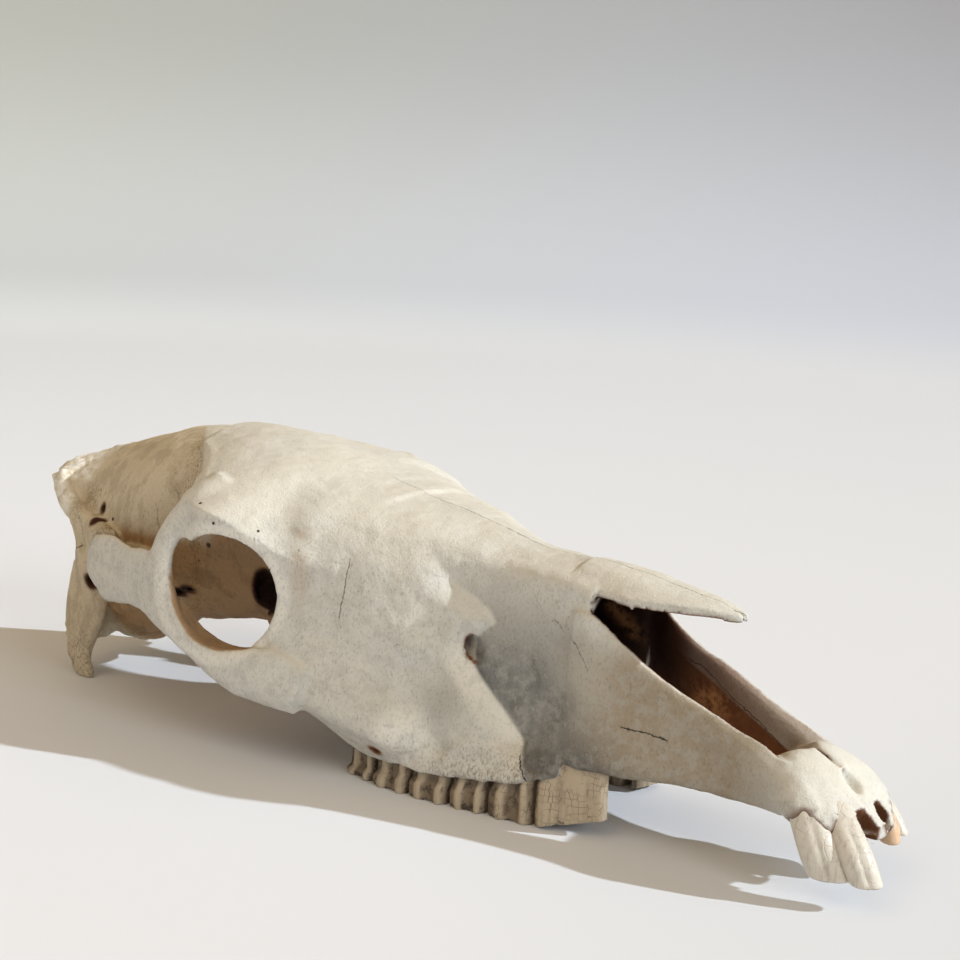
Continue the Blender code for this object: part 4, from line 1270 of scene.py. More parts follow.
@dataclass(frozen=True)
class ColourZones:
    """Stretches of the surface that differ in colour, several of them painted light and shade.

    Values are x, y and z; side, the distance from the middle plane; inward and outward, the share of
    the normal towards and away from it; up, how far a face looks up; behind, the distance behind the
    line from the orbit's upper rim to the crest; ahead, the distance ahead of the fold of the cheek;
    gum, the height above the gum edge; line, the height above the seam in the far muzzle wall; rim,
    the share by which a point is off the orbit's outline; knob, the distance from the cheek's knob.
    """

    # tan
    fossa: Zone = Zone((("behind", -0.5, 3.5), ("side", 74, 66)))
    below: Zone = Zone((("z", 34, 18), ("x", 62, 50)))
    # brown hollow of the orbit: its stain, with painted shade on faces that turn inward or don't look up,
    # and under the skull's base
    open_side: Zone = Zone((("outward", 0.7, 0.3),))
    arch_inside: Zone = Zone((("inward", 0.0, 0.4), ("side", 50, 58), ("x", 40, 50), ("x", 262, 250),
                              ("z", 138, 128)))
    hollow: Zone = Zone((("side", 82, 74), ("x+z", 150, 165), ("x", 250, 238), ("z", 140, 132),
                         ("z", 28, 40), ("level", 0.6, 0.2)))
    hollow_end: Zone = Zone((("x", 140, 120), ("z", 96, 106)))
    fossa_end: Zone = Zone((("x", 150, 120), ("z", 98, 106)))
    base: Zone = Zone((("z", 62, 54), ("x", 30, 40), ("x", 118, 108), ("side", 50, 44)))
    # dark brown passages: their stain, with painted shade on faces that turn inward, down or away from the
    # opening
    muzzle: Zone = Zone((("inward", -0.05, 0.35), ("x", 380, 388), ("x", 512, 500), ("z", 40, 46),
                         ("z", 114, 109)))
    roof: Zone = Zone((("level", 0.0, -0.5), ("x", 380, 390), ("z", 92, 100)))
    nasal_tip: Zone = Zone((("x", 438, 446), ("z", 107, 110)))
    passage: Zone = Zone((("outward", 0.8, 0.4), ("x", 490, 470)))
    sockets: Zone = Zone((("x", 500, 515), ("up", 0.5, 0.1)))
    far_pale: Zone = Zone((("x", 412, 430),))
    far_paler: Zone = Zone((("x", 440, 490),), 0.3)
    # near-black painted shade deep in them, in the order in which they are laid over one another
    deep_shade: tuple = (
        Zone((("x", 440, 396), ("x", 296, 302), ("side", 37, 32), ("z", 44, 54))),
        Zone((("x", 505, 515),), 0.45),
        Zone((("x", 80, 90), ("x", 245, 235), ("side", 60, 54))),
        Zone((("x", 60, 50), ("x", 6, 14)), 0.8),
    )
    # outer side of the face: umber tone, and painted shade in the recess ahead of the cheek's fold and in
    # the dent behind it
    umber: Zone = Zone((("outward", 0.1, 0.5), ("z", 104, 84), ("x", 525, 478), ("x", 372, 428)))
    recess_shade: Zone = Zone((("ahead", -0.5, 2.5), ("ahead", 78, 30), ("z", 124, 70), ("z", 18, 30),
                       ("outward", 0.0, 0.4)))
    dent: Zone = Zone((("ahead", -8, -14), ("outward", 0.0, 0.4)), 0.4)
    # pale bone, with painted highlight on the lit crest end, on the bank behind the cheek's fold and on the
    # orbit's rim
    pale_and_highlight: tuple = (
        Zone((("z", 117, 122), ("x", 14, -6))),
        Zone((("outward", 0.2, 0.5), ("rim", 0.16, 0.04), ("side", 70, 70.1)), 0.6),
        Zone((("knob", 18, 6), ("outward", 0.0, 0.3)), 0.8),
        Zone((("ahead", -15, -3), ("ahead", 0.8, -0.6), ("z", 88, 74), ("z", 30, 42), ("outward", 0.0, 0.4)),
             0.7),
        Zone((("x", 14, 2), ("z", 88, 96), ("side", 38, 45)), 0.8),
    )
    # grime
    grime: tuple = (
        Zone((("gum", 26, 2), ("x", 300, 350), ("x", 428, 410)), 0.6),
        Zone((("x", 4, 12), ("x", 30, 20), ("z", 96, 104), ("z", 121, 116)), 0.6),
        Zone((("behind", -0.5, 3.5), ("side", 74, 66), ("behind", 34, 0), ("x", 88, 100)), 0.6),
        Zone((("x", 50, 56), ("x", 80, 72), ("side", 52, 58), ("z", 92, 96)), 0.8),
        Zone((("z", 34, 18), ("x", 62, 50)), 0.5),
    )
    dent_middle: tuple = (327, 58, 52)
    dent_radii: tuple = (13, 14, 15)
    # height and x of the fold of the cheek
    fold: tuple = ((28, 378), (37.5, 370), (45, 362), (52, 354.5), (59, 346.8), (67.5, 338.5), (76, 331.2),
                   (84.5, 332), (93.4, 341.5), (98.8, 337.5), (104.5, 328), (109.6, 317), (119, 306.5))
    # painted glow: a streak and a patch of orange light shining through the far wall of the nasal passage
    streak: tuple = ((376, 20, 99), (390, 20, 89), (404, 20, 82))
    streak_width: float = 4.0
    # lines and outlines that values are measured from
    back_edge: tuple = (80, 1.08)           # x at the middle plane, and its growth with side
    far_seam: tuple = (410, 84.5, -0.445)   # x, z and slope of the seam in the far muzzle wall
    orbit_outline: tuple = (197, 91, 38, 35)        # x, z, half length and half height
    knob: tuple = (312, 32, 0.8)            # x, z and the share that height counts for
    patch: tuple = ((437, 24, 62), (15, 12, 8))


# distances to a seam in millimetres, and to a pit in units of its radius
SEAM_FAR = 3.0              # farthest that the materials tell apart
SEAM_REACH = 5.0            # farthest point that belongs to a seam
SEAM_ROOM = 6               # room round a seam's path
SEAM_FADE = (4.5, 3.0)      # a seam's strength rises between these
PIT_FAR = 9.0               # stands for no pit near
PIT_REACH = 7


@dataclass
class SurfaceMarks:
    """Values at the points of the skin that the materials read."""

    skull: Skull
    mesher: Mesher
    zones: ColourZones = field(default_factory=ColourZones)

    @property
    def lattice(self) -> Lattice:
        """Lattice of the skull."""
        return self.skull.lattice

    def sample(self, values: Array, points: Array) -> Array:
        """Lattice values at points, linear between the eight samples round each."""
        place = (points - np.asarray(self.lattice.low)) / self.lattice.grain
        limit = np.asarray(values.shape) - 2
        cell = np.clip(np.floor(place).astype(int), 0, limit)
        t = np.clip(place - cell, 0, 1)
        total = np.zeros(len(points))
        for corner in np.ndindex(2, 2, 2):
            c = np.asarray(corner)
            at = cell + c
            total += np.prod(np.where(c == 1, t, 1 - t), axis=1) * values[at[:, 0], at[:, 1], at[:, 2]]
        return total.astype(np.float32)

    def normals(self) -> Array:
        """Outward direction at each point, from the faces of the skin round it."""
        points, skin = self.mesher.points, self.mesher.skin
        a, b, c, d = (points[skin[:, i]] for i in range(4))
        face = np.cross(c - a, d - b)
        total = np.zeros_like(points)
        for corner in range(4):
            for k in range(3):
                total[:, k] += np.bincount(skin[:, corner], weights=face[:, k], minlength=len(points))
        length = np.linalg.norm(total, axis=1, keepdims=True)
        return total / np.maximum(length, 1e-9)

    def values(self, normal: Array) -> dict[str, Array]:
        """Values that the zones are drawn by, at each point of the skin."""
        x, y, z = self.mesher.points.T
        side, away = np.abs(y), normal[:, 1] * np.sign(y)
        heights, folds = zip(*self.zones.fold)
        edge, growth = self.zones.back_edge
        seam_x, seam_z, slope = self.zones.far_seam
        orbit_x, orbit_z, length, height = self.zones.orbit_outline
        knob_x, knob_z, flat = self.zones.knob
        return {
            "x": x, "y": y, "z": z, "x+z": x + z, "side": side, "inward": -away, "outward": away,
            "level": normal[:, 2], "up": eased(normal[:, 2], 0.25, 0.85),
            "behind": edge + growth * side - x,
            "ahead": x - np.interp(z, heights, folds),
            "line": z - (seam_z + slope * (x - seam_x)),
            "gum": z - gum_at(x),
            "rim": np.abs(np.hypot((x - orbit_x) / length, (z - orbit_z) / height) - 1),
            "knob": np.hypot(x - knob_x, (z - knob_z) * flat),
        }

    def passages(self, nasal: Array, values: dict[str, Array]) -> Array:
        """Mask of the dark brown passages, partly stain and partly painted shade; the far wall is paler
        above its seam.

        Args:
            nasal: mask of the surface that the cut hollows left.
            values: values at each point.
        """
        zones, x, far = self.zones, values["x"], values["y"] > 0
        upper = 1 - (0.22 + zones.far_paler.at(values)) * zones.far_pale.at(values)
        far_wall = upper + (1 - upper) * eased(values["line"], 0.6, -0.6)
        muzzle = zones.muzzle.at(values) * (values["side"] < 36) * np.where(far, far_wall, 1.0)
        nasal = nasal * np.where(far & (x < 490), far_wall, 1.0) * (1 - zones.nasal_tip.at(values))
        nasal = nasal * (zones.passage.at(values) + zones.sockets.at(values) + (x < 300))
        return np.clip(np.maximum.reduce([nasal, muzzle, zones.roof.at(values)]), 0, 1)

    def painted_glow(self, values: dict[str, Array]) -> Array:
        """Mask of the painted glow of light through the far wall: exp(-(d / width)^2) round a streak and
        exp(-r^2) in a patch.
        """
        points, (centre, radii) = self.mesher.points, self.zones.patch
        d, _ = path_distance(points.astype(np.float32), np.array(self.zones.streak))
        patch = (((points - centre) / radii) ** 2).sum(axis=1)
        glow = np.exp(-(d / self.zones.streak_width) ** 2) + np.exp(-patch)
        return np.clip(glow, 0, 1) * (values["y"] > 0)

    def tones(self, normal: Array) -> tuple[Array, Array, Array]:
        """Colour masks, each 0 to 1; several of them are painted light and shade.

        Args:
            normal: outward direction at each point.

        Returns:
            (tan, orbit, nasal, up), (crevice, umber, cool, rough) and (amber, soot, chalk, grime).
        """
        points, zones, values = self.mesher.points, self.zones, self.values(normal)
        orbit, nasal, under = (np.clip(2 * self.sample(blurred(self.lattice.tone == tone.value, 1),
                                                       points), 0, 1)
                               for tone in (Tone.ORBIT, Tone.NASAL, Tone.UNDER))
        solid = (self.lattice.form < 0).astype(np.float32)
        # how much bone lies round a point: high in crevices and hollows, where painted shade is laid
        near = self.sample(blurred(solid, 3), points + 1.2 * normal)
        fossa = zones.fossa.at(values)
        tan = np.clip(fossa + under + zones.below.at(values), 0, 1)
        hollow = zones.hollow.at(values) * (1 - zones.hollow_end.at(values))
        # orbit brown: stain, and painted shade on faces that turn inward or away
        orbit = np.maximum.reduce([orbit * zones.open_side.at(values), hollow, zones.arch_inside.at(values)])
        orbit = np.clip(orbit, 0, 1) * (1 - fossa * zones.fossa_end.at(values))
        orbit = np.maximum(orbit, zones.base.at(values))
        nasal = self.passages(nasal, values)
        # painted shade: a dark tint over the dent behind the cheek's fold
        offset = (np.column_stack([values[name] for name in ("x", "side", "z")]) - zones.dent_middle) \
            / zones.dent_radii
        dent = np.exp(-(offset ** 2).sum(axis=1)) * zones.dent.at(values)
        # painted shade, near black, where the passages run deep
        deep_shade = nasal * np.maximum.reduce([zone.at(values) for zone in zones.deep_shade])
        pale_and_highlight = np.clip(sum(zone.at(values) for zone in zones.pale_and_highlight), 0, 1)
        grime = np.clip(sum(zone.at(values) for zone in zones.grime), 0, 1)
        made = ((tan, orbit, nasal, values["up"]),
                (eased(near, 0.3, 0.75), zones.umber.at(values), np.maximum(zones.recess_shade.at(values), dent),
                 self.skull.worn_places(points)),
                (self.painted_glow(values), deep_shade, pale_and_highlight, grime))
        return tuple(np.stack(masks, -1).astype(np.float32) for masks in made)

    def pits(self) -> Array:
        """Offset of each point from the nearest small pit, in units of the pit's radius."""
        points = self.mesher.points
        made = np.full((len(points), 3), PIT_FAR, np.float32)
        for sides, centre, radius in self.skull.details.pits:
            for side in sides:
                offset = (points - np.asarray(centre, float) * (1, side.value, 1)) / radius
                length = np.linalg.norm(offset, axis=1)
                closer = (length < PIT_REACH) & (length < np.linalg.norm(made, axis=1))
                made[closer] = offset[closer]
        return made

    def seams(self, normal: Array) -> Array:
        """Signed distance (mm) to the nearest crack, measured in the surface, and its strength."""
        points = self.mesher.points.astype(np.float32)
        made = np.zeros((len(points), 3), np.float32)
        made[:, 0] = SEAM_FAR
        closest = np.full(len(points), SEAM_REACH, np.float32)
        for seam in SEAMS:
            route = spline(seam.path, 4) * (1, seam.side.value, 1)
            low, high = route.min(0) - SEAM_ROOM, route.max(0) + SEAM_ROOM
            chosen = np.nonzero(((points > low) & (points < high)).all(axis=1))[0]
            d, t = path_distance(points[chosen], route)
            index = np.clip((t * (len(route) - 1)).astype(int), 0, len(route) - 2)
            ahead = route[index + 1] - route[index]
            across = np.cross(normal[chosen], ahead)
            across /= np.maximum(np.linalg.norm(across, axis=1, keepdims=True), 1e-9)
            signed = ((points[chosen] - route[index]) * across).sum(axis=1)
            closer = d < closest[chosen]
            picked = chosen[closer]
            closest[picked] = d[closer]
            made[picked, 0] = np.clip(signed[closer], -SEAM_FAR, SEAM_FAR)
            made[picked, 1] = seam.strength * eased(d[closer], *SEAM_FADE)
        return made


# ------------------------------------------------------------------ materials
@dataclass
class Nodes:
    """Short way to place and join the nodes of one tree."""

    tree: bpy.types.NodeTree

    def add(self, kind: str, **settings: object) -> bpy.types.Node:
        """New node with its properties set."""
        node = self.tree.nodes.new(kind)
        for name, value in settings.items():
            setattr(node, name, value)
        return node

    def put(self, socket: bpy.types.NodeSocket, value: object) -> None:
        """Link a socket to another, or set it to a constant."""
        if isinstance(value, bpy.types.NodeSocket):
            self.tree.links.new(value, socket)
        else:
            socket.default_value = value

    def math(self, operation: str, a: object, b: object = 0.0, c: object = 0.0,
             clamp: bool = False) -> bpy.types.NodeSocket:
        """Result of a Math node."""
        node = self.add("ShaderNodeMath", operation=operation, use_clamp=clamp)
        for socket, value in zip(node.inputs, (a, b, c)):
            self.put(socket, value)
        return node.outputs[0]

    def times(self, *values: object) -> bpy.types.NodeSocket:
        """Product of two or more values."""
        made = values[0]
        for value in values[1:]:
            made = self.math("MULTIPLY", made, value)
        return made

    def linear(self, value: object, slope: object, start: object,
               clamp: bool = False) -> bpy.types.NodeSocket:
        """Value times a slope, added to a start."""
        return self.math("MULTIPLY_ADD", value, slope, start, clamp)

    def less(self, value: object, amount: object, clamp: bool = False) -> bpy.types.NodeSocket:
        """Value less an amount."""
        return self.math("SUBTRACT", value, amount, clamp=clamp)

    def layered(self, colour: object, layers: Sequence[tuple]) -> bpy.types.NodeSocket:
        """Colour with (mask, colour) layers laid over it in order."""
        for mask, tint in layers:
            colour = self.mix(mask, colour, tint)
        return colour

    def ease(self, value: object, low: object, high: object) -> bpy.types.NodeSocket:
        """Smooth step from 0 at low to 1 at high."""
        node = self.add("ShaderNodeMapRange", interpolation_type="SMOOTHSTEP", clamp=True)
        self.put(node.inputs["Value"], value)
        self.put(node.inputs["From Min"], low)
        self.put(node.inputs["From Max"], high)
        return node.outputs["Result"]

    def mix(self, factor: object, a: object, b: object) -> bpy.types.NodeSocket:
        """Colour between two colours."""
        node = self.add("ShaderNodeMix", data_type="RGBA")
        self.put(node.inputs["Factor"], factor)
        self.put(node.inputs["A"], a)
        self.put(node.inputs["B"], b)
        return next(out for out in node.outputs if out.type == "RGBA")

    def bump(self, shader: bpy.types.Node, height: object, strength: float, depth: float) -> None:
        """Raise the shader's surface by a height, up to a depth in metres."""
        node = self.add("ShaderNodeBump")
        node.inputs["Strength"].default_value = strength
        node.inputs["Distance"].default_value = depth
        self.put(node.inputs["Height"], height)
        self.put(shader.inputs["Normal"], node.outputs["Normal"])

    def stretch(self, vector: bpy.types.NodeSocket, scale: Row) -> bpy.types.NodeSocket:
        """Coordinates multiplied along each axis."""
        node = self.add("ShaderNodeMapping")
        self.put(node.inputs["Vector"], vector)
        node.inputs["Scale"].default_value = scale
        return node.outputs["Vector"]

    def noise(self, vector: object, scale: object, detail: float = 4.0,
              roughness: float = 0.55) -> bpy.types.NodeSocket:
        """Smooth noise, about 0.5 on average."""
        node = self.add("ShaderNodeTexNoise")
        self.put(node.inputs["Vector"], vector)
        self.put(node.inputs["Scale"], scale)
        node.inputs["Detail"].default_value = detail
        node.inputs["Roughness"].default_value = roughness
        return node.outputs["Fac"]


def group(name: str, inputs: dict[str, tuple[str, float]], outputs: Sequence[str],
          fill: Callable[[Nodes, bpy.types.Node], dict[str, object]]) -> bpy.types.NodeTree:
    """Shader node group with named sockets.

    Args:
        name: name of the group.
        inputs: kind and starting value of each input.
        outputs: names of the values that it puts out.
        fill: places the nodes and returns the socket behind each output.
    """
    tree = bpy.data.node_groups.new(name, "ShaderNodeTree")
    for label, (kind, value) in inputs.items():
        socket = tree.interface.new_socket(label, in_out="INPUT", socket_type=kind)
        if kind == "NodeSocketFloat":
            socket.default_value = value
    for label in outputs:
        tree.interface.new_socket(label, in_out="OUTPUT", socket_type="NodeSocketFloat")
    nodes = Nodes(tree)
    start = nodes.add("NodeGroupInput")
    end = nodes.add("NodeGroupOutput")
    for label, value in fill(nodes, start).items():
        nodes.put(end.inputs[label], value)
    return tree


class Effects:
    """Node groups that several finishes use."""

    def __init__(self) -> None:
        """Build each group once."""
        vector = ("NodeSocketVector", 0.0)

        def number(value: float) -> tuple[str, float]:
            """Kind and starting value of a number's socket."""
            return "NodeSocketFloat", value

        self.pores = group("Pores", {"Vector": vector, "Scale": number(700.0), "Amount": number(0.5)},
                           ("Mask", "Height"), self.pore_nodes)
        self.stain = group("Stain", {"Vector": vector, "Scale": number(30.0), "Amount": number(0.5)},
                           ("Mask",), self.stain_nodes)
        self.line = group("Crack line", {"Vector": vector, "Distance": number(3.0), "Strength": number(1.0),
                                         "Width": number(0.35)}, ("Mask",), self.line_nodes)
        self.crackle = group("Crackle", {"Vector": vector, "Scale": number(200.0), "Width": number(0.05)},
                             ("Mask",), self.crackle_nodes)

    @staticmethod
    def pore_nodes(nodes: Nodes, start: bpy.types.Node) -> dict[str, object]:
        """Small dark pits where fine noise is low, thinned by broad noise."""
        vector, scale = start.outputs["Vector"], start.outputs["Scale"]
        fine = nodes.noise(vector, scale, 3.0, 0.6)
        broad = nodes.noise(vector, nodes.times(scale, 0.07), 3.0)
        level = nodes.linear(start.outputs["Amount"], 0.16, 0.24)
        level = nodes.linear(nodes.less(broad, 0.5), 0.35, level)
        mask = nodes.ease(fine, level, nodes.less(level, 0.09))
        return {"Mask": mask, "Height": nodes.less(nodes.times(fine, 0.5), mask)}

    @staticmethod
    def stain_nodes(nodes: Nodes, start: bpy.types.Node) -> dict[str, object]:
        """Patches with ragged edges: noise past a level that falls with the amount."""
        broad = nodes.noise(start.outputs["Vector"], start.outputs["Scale"], 6.0, 0.65)
        level = nodes.linear(start.outputs["Amount"], -0.3, 0.65)
        return {"Mask": nodes.ease(broad, level, nodes.math("ADD", level, 0.16))}

    @staticmethod
    def line_nodes(nodes: Nodes, start: bpy.types.Node) -> dict[str, object]:
        """Thin jagged line where the signed distance, moved by noise, is near nothing."""
        width = start.outputs["Width"]
        jag = nodes.noise(start.outputs["Vector"], 330.0, 3.0, 0.7)
        moved = nodes.math("ADD", start.outputs["Distance"], nodes.times(nodes.less(jag, 0.5), 3.4))
        mask = nodes.ease(nodes.math("ABSOLUTE", moved), width, nodes.times(width, 0.25))
        return {"Mask": nodes.math("MULTIPLY", mask, start.outputs["Strength"], clamp=True)}

    @staticmethod
    def crackle_nodes(nodes: Nodes, start: bpy.types.Node) -> dict[str, object]:
        """Fine net of cracks: borders between cells that lie nearly in rows."""
        vector = start.outputs["Vector"]
        moved = nodes.add("ShaderNodeVectorMath", operation="ADD")
        nodes.put(moved.inputs[0], vector)
        nodes.put(moved.inputs[1], nodes.times(nodes.noise(vector, 90.0, 3.0), 0.0022))
        cells = nodes.add("ShaderNodeTexVoronoi", feature="DISTANCE_TO_EDGE")
        nodes.put(cells.inputs["Vector"], moved.outputs[0])
        nodes.put(cells.inputs["Scale"], start.outputs["Scale"])
        cells.inputs["Randomness"].default_value = 0.35
        faint = nodes.ease(nodes.noise(vector, 130.0, 2.0), 0.4, 0.6)
        border = nodes.ease(cells.outputs["Distance"], start.outputs["Width"], 0.0)
        return {"Mask": nodes.times(border, faint)}


def use(nodes: Nodes, tree: bpy.types.NodeTree, **values: object) -> bpy.types.Node:
    """A node group placed in a material with its own values."""
    node = nodes.add("ShaderNodeGroup")
    node.node_tree = tree
    for name, value in values.items():
        nodes.put(node.inputs[name], value)
    return node


def start_material(name: str) -> tuple[bpy.types.Material, Nodes, bpy.types.Node]:
    """New material with its nodes and its shader."""
    made = bpy.data.materials.new(name)
    made.use_nodes = True
    return made, Nodes(made.node_tree), made.node_tree.nodes["Principled BSDF"]


@dataclass(frozen=True)
class BoneFinish:
    """Dry bone, pale outside and dark brown in its hollows, with painted light and shade laid into its
    colour.
    """

    # cream on faces that look up and grey on the rest; the difference is partly painted top light
    cream: Colour = (0.65, 0.615, 0.53, 1)
    grey: Colour = (0.58, 0.565, 0.51, 1)
    dull: Colour = (0.42, 0.405, 0.36, 1)
    # near black, the painted shade of the recess ahead of the cheek's fold
    recess_shade: Colour = (0.115, 0.115, 0.11, 1)
    umber: Colour = (0.33, 0.275, 0.20, 1)
    tan: Colour = (0.58, 0.495, 0.355, 1)
    # brown of the orbit, partly painted shade
    orbit: Colour = (0.39, 0.235, 0.11, 1)
    # dark brown of the passages, partly painted shade
    nasal: Colour = (0.17, 0.062, 0.022, 1)
    # orange of light shining through thin bone, painted
    painted_glow: Colour = (0.62, 0.30, 0.12, 1)
    # near black, painted shade deep in the passages
    deep_shade: Colour = (0.02, 0.006, 0.003, 1)
    # pale bone colour, also used as a painted highlight
    pale_and_highlight: Colour = (0.80, 0.765, 0.68, 1)
    stain: Colour = (0.17, 0.115, 0.062, 1)
    dirt: Colour = (0.065, 0.048, 0.034, 1)
    roughness: float = 0.8
    gloss: float = 0.22
    bump: float = 0.75
    relief: float = 0.0006          # metres
    # sizes of the noises, in waves per metre
    cloud_scale: float = 26.0
    fibre_scale: float = 900.0
    fleck_scale: float = 150.0
    stain_scale: float = 70.0
    pore_scale: float = 900.0
    speck_scale: float = 420.0

    def material(self, effects: Effects) -> bpy.types.Material:
        """Material that reads the bones' masks.

        Args:
            effects: shared node groups.
        """
        made, nodes, shader = start_material("dry_bone")
        place = nodes.add("ShaderNodeTexCoord").outputs["Object"]
        # besides stains, wear and dirt, these attributes carry painted shade, highlight and glow
        tone, wear_and_shade, dirt, seams, pits = (nodes.add("ShaderNodeAttribute", attribute_name=name) for name in
                                         ("tone", "wear_and_shade", "dirt", "seam", "pit"))
        seam = nodes.add("ShaderNodeSeparateXYZ")
        nodes.put(seam.inputs[0], seams.outputs["Vector"])
        tan, orbit, nasal = self.split(nodes, tone)
        crevice_shade, umber, recess_shade = self.split(nodes, wear_and_shade)
        painted_glow, deep_shade, pale_and_highlight = self.split(nodes, dirt)
        up, rough, grime = tone.outputs["Alpha"], wear_and_shade.outputs["Alpha"], dirt.outputs["Alpha"]
        broad = nodes.noise(place, self.cloud_scale, 6.0, 0.62)
        cloud = nodes.ease(broad, 0.36, 0.64)
        fibre = nodes.noise(nodes.stretch(place, (1.0, 1.0, 0.5)), self.fibre_scale, 4.0, 0.7)
        fleck = nodes.noise(place, self.fleck_scale, 6.0, 0.7)
        patches = use(nodes, effects.stain, Vector=nodes.stretch(place, (1.0, 1.0, 0.5)),
                      Scale=self.stain_scale, Amount=0.62).outputs["Mask"]
        inner = nodes.math("MAXIMUM", nodes.math("MAXIMUM", tan, orbit), nasal)
        outer = nodes.less(1.0, inner, clamp=True)
        pores = use(nodes, effects.pores, Vector=nodes.stretch(place, (1.0, 1.0, 0.7)),
                    Scale=self.pore_scale,
                    Amount=nodes.linear(up, -0.4, nodes.linear(grime, 0.15, 0.6)))
        specks = use(nodes, effects.pores, Vector=place, Scale=self.speck_scale,
                     Amount=nodes.linear(grime, 0.5, -0.12))
        dark = nodes.math("MAXIMUM", nodes.times(pores.outputs["Mask"], 0.3),
                          nodes.times(specks.outputs["Mask"], 0.5))
        cracks = use(nodes, effects.line, Vector=place, Distance=seam.outputs["X"],
                     Strength=seam.outputs["Y"],
                     Width=nodes.linear(seam.outputs["Y"], 0.34, 0.12)).outputs["Mask"]
        length = nodes.add("ShaderNodeVectorMath", operation="LENGTH")
        nodes.put(length.inputs[0], pits.outputs["Vector"])
        ragged = nodes.linear(fleck, 0.8, nodes.less(length.outputs["Value"], 0.4))
        line = nodes.math("MAXIMUM", cracks, nodes.ease(ragged, 1.2, 0.7))
        # painted shade: the stain colour laid into crevices, broken up by broad noise
        soil_and_crevice_shade = nodes.times(nodes.ease(crevice_shade, 0.5, 1.0), nodes.ease(broad, 0.3, 0.6), 0.4)
        # painted light: faces that look up are painted paler, towards cream; the cloud noise adds uneven
        # bleaching
        bleach_and_top_light = nodes.linear(cloud, 0.5, nodes.times(up, 0.55), clamp=True)
        colour = nodes.mix(bleach_and_top_light, self.grey, self.cream)
        colour = nodes.layered(colour, (
            (umber, self.umber),
            # painted shade in the recess ahead of the cheek's fold and in the dent
            (nodes.times(recess_shade, nodes.linear(cloud, 0.3, 0.73)), self.recess_shade),
            (tan, self.tan),
            (nodes.times(patches, tan, 0.28), self.stain),
            (nodes.times(orbit, 0.9), self.orbit),
            (nodes.times(patches, orbit, 0.45), self.stain),
            # passages' dark brown: stain and painted shade
            (nasal, self.nasal),
            # painted shade deep in the passages
            (deep_shade, self.deep_shade),
            # painted glow of light through the thin far wall
            (nodes.times(painted_glow, nodes.ease(fleck, 0.38, 0.62)), self.painted_glow),
            # painted shade: sideways faces get more dull mottle than faces that look up
            (nodes.times(nodes.ease(fleck, 0.44, 0.62), outer, nodes.linear(up, -0.28, 0.42)), self.dull),
            # painted highlight on lit edges and banks, and pale bone
            (nodes.times(pale_and_highlight, nodes.ease(fleck, 0.35, 0.55)), self.pale_and_highlight),
            # painted shade in crevices
            (soil_and_crevice_shade, self.stain),
            (nodes.times(grime, nodes.ease(fibre, 0.42, 0.66)), self.stain),
            # fibre-grained dirt, laid thicker on sideways faces, a painted shade
            (nodes.times(nodes.ease(fibre, 0.5, 0.72), nodes.linear(up, -0.2, 0.34)), self.dirt),
            (dark, self.dirt),
            (line, self.dirt),
        ))
        nodes.put(shader.inputs["Base Color"], colour)
        shader.inputs["Roughness"].default_value = self.roughness
        shader.inputs["Specular IOR Level"].default_value = self.gloss
        height = nodes.linear(fibre, 0.9, nodes.times(pores.outputs["Height"], 0.7))
        height = nodes.less(height, nodes.times(specks.outputs["Mask"], 1.2))
        height = nodes.less(height, nodes.times(line, 2.4))
        height = nodes.linear(fleck, nodes.linear(rough, 3.0, 1.2), height)
        nodes.bump(shader, height, self.bump, self.relief)
        return made

    @staticmethod
    def split(nodes: Nodes, attribute: bpy.types.Node) -> tuple:
        """Red, green and blue of an attribute."""
        node = nodes.add("ShaderNodeSeparateColor")
        nodes.put(node.inputs["Color"], attribute.outputs["Color"])
        return tuple(node.outputs)


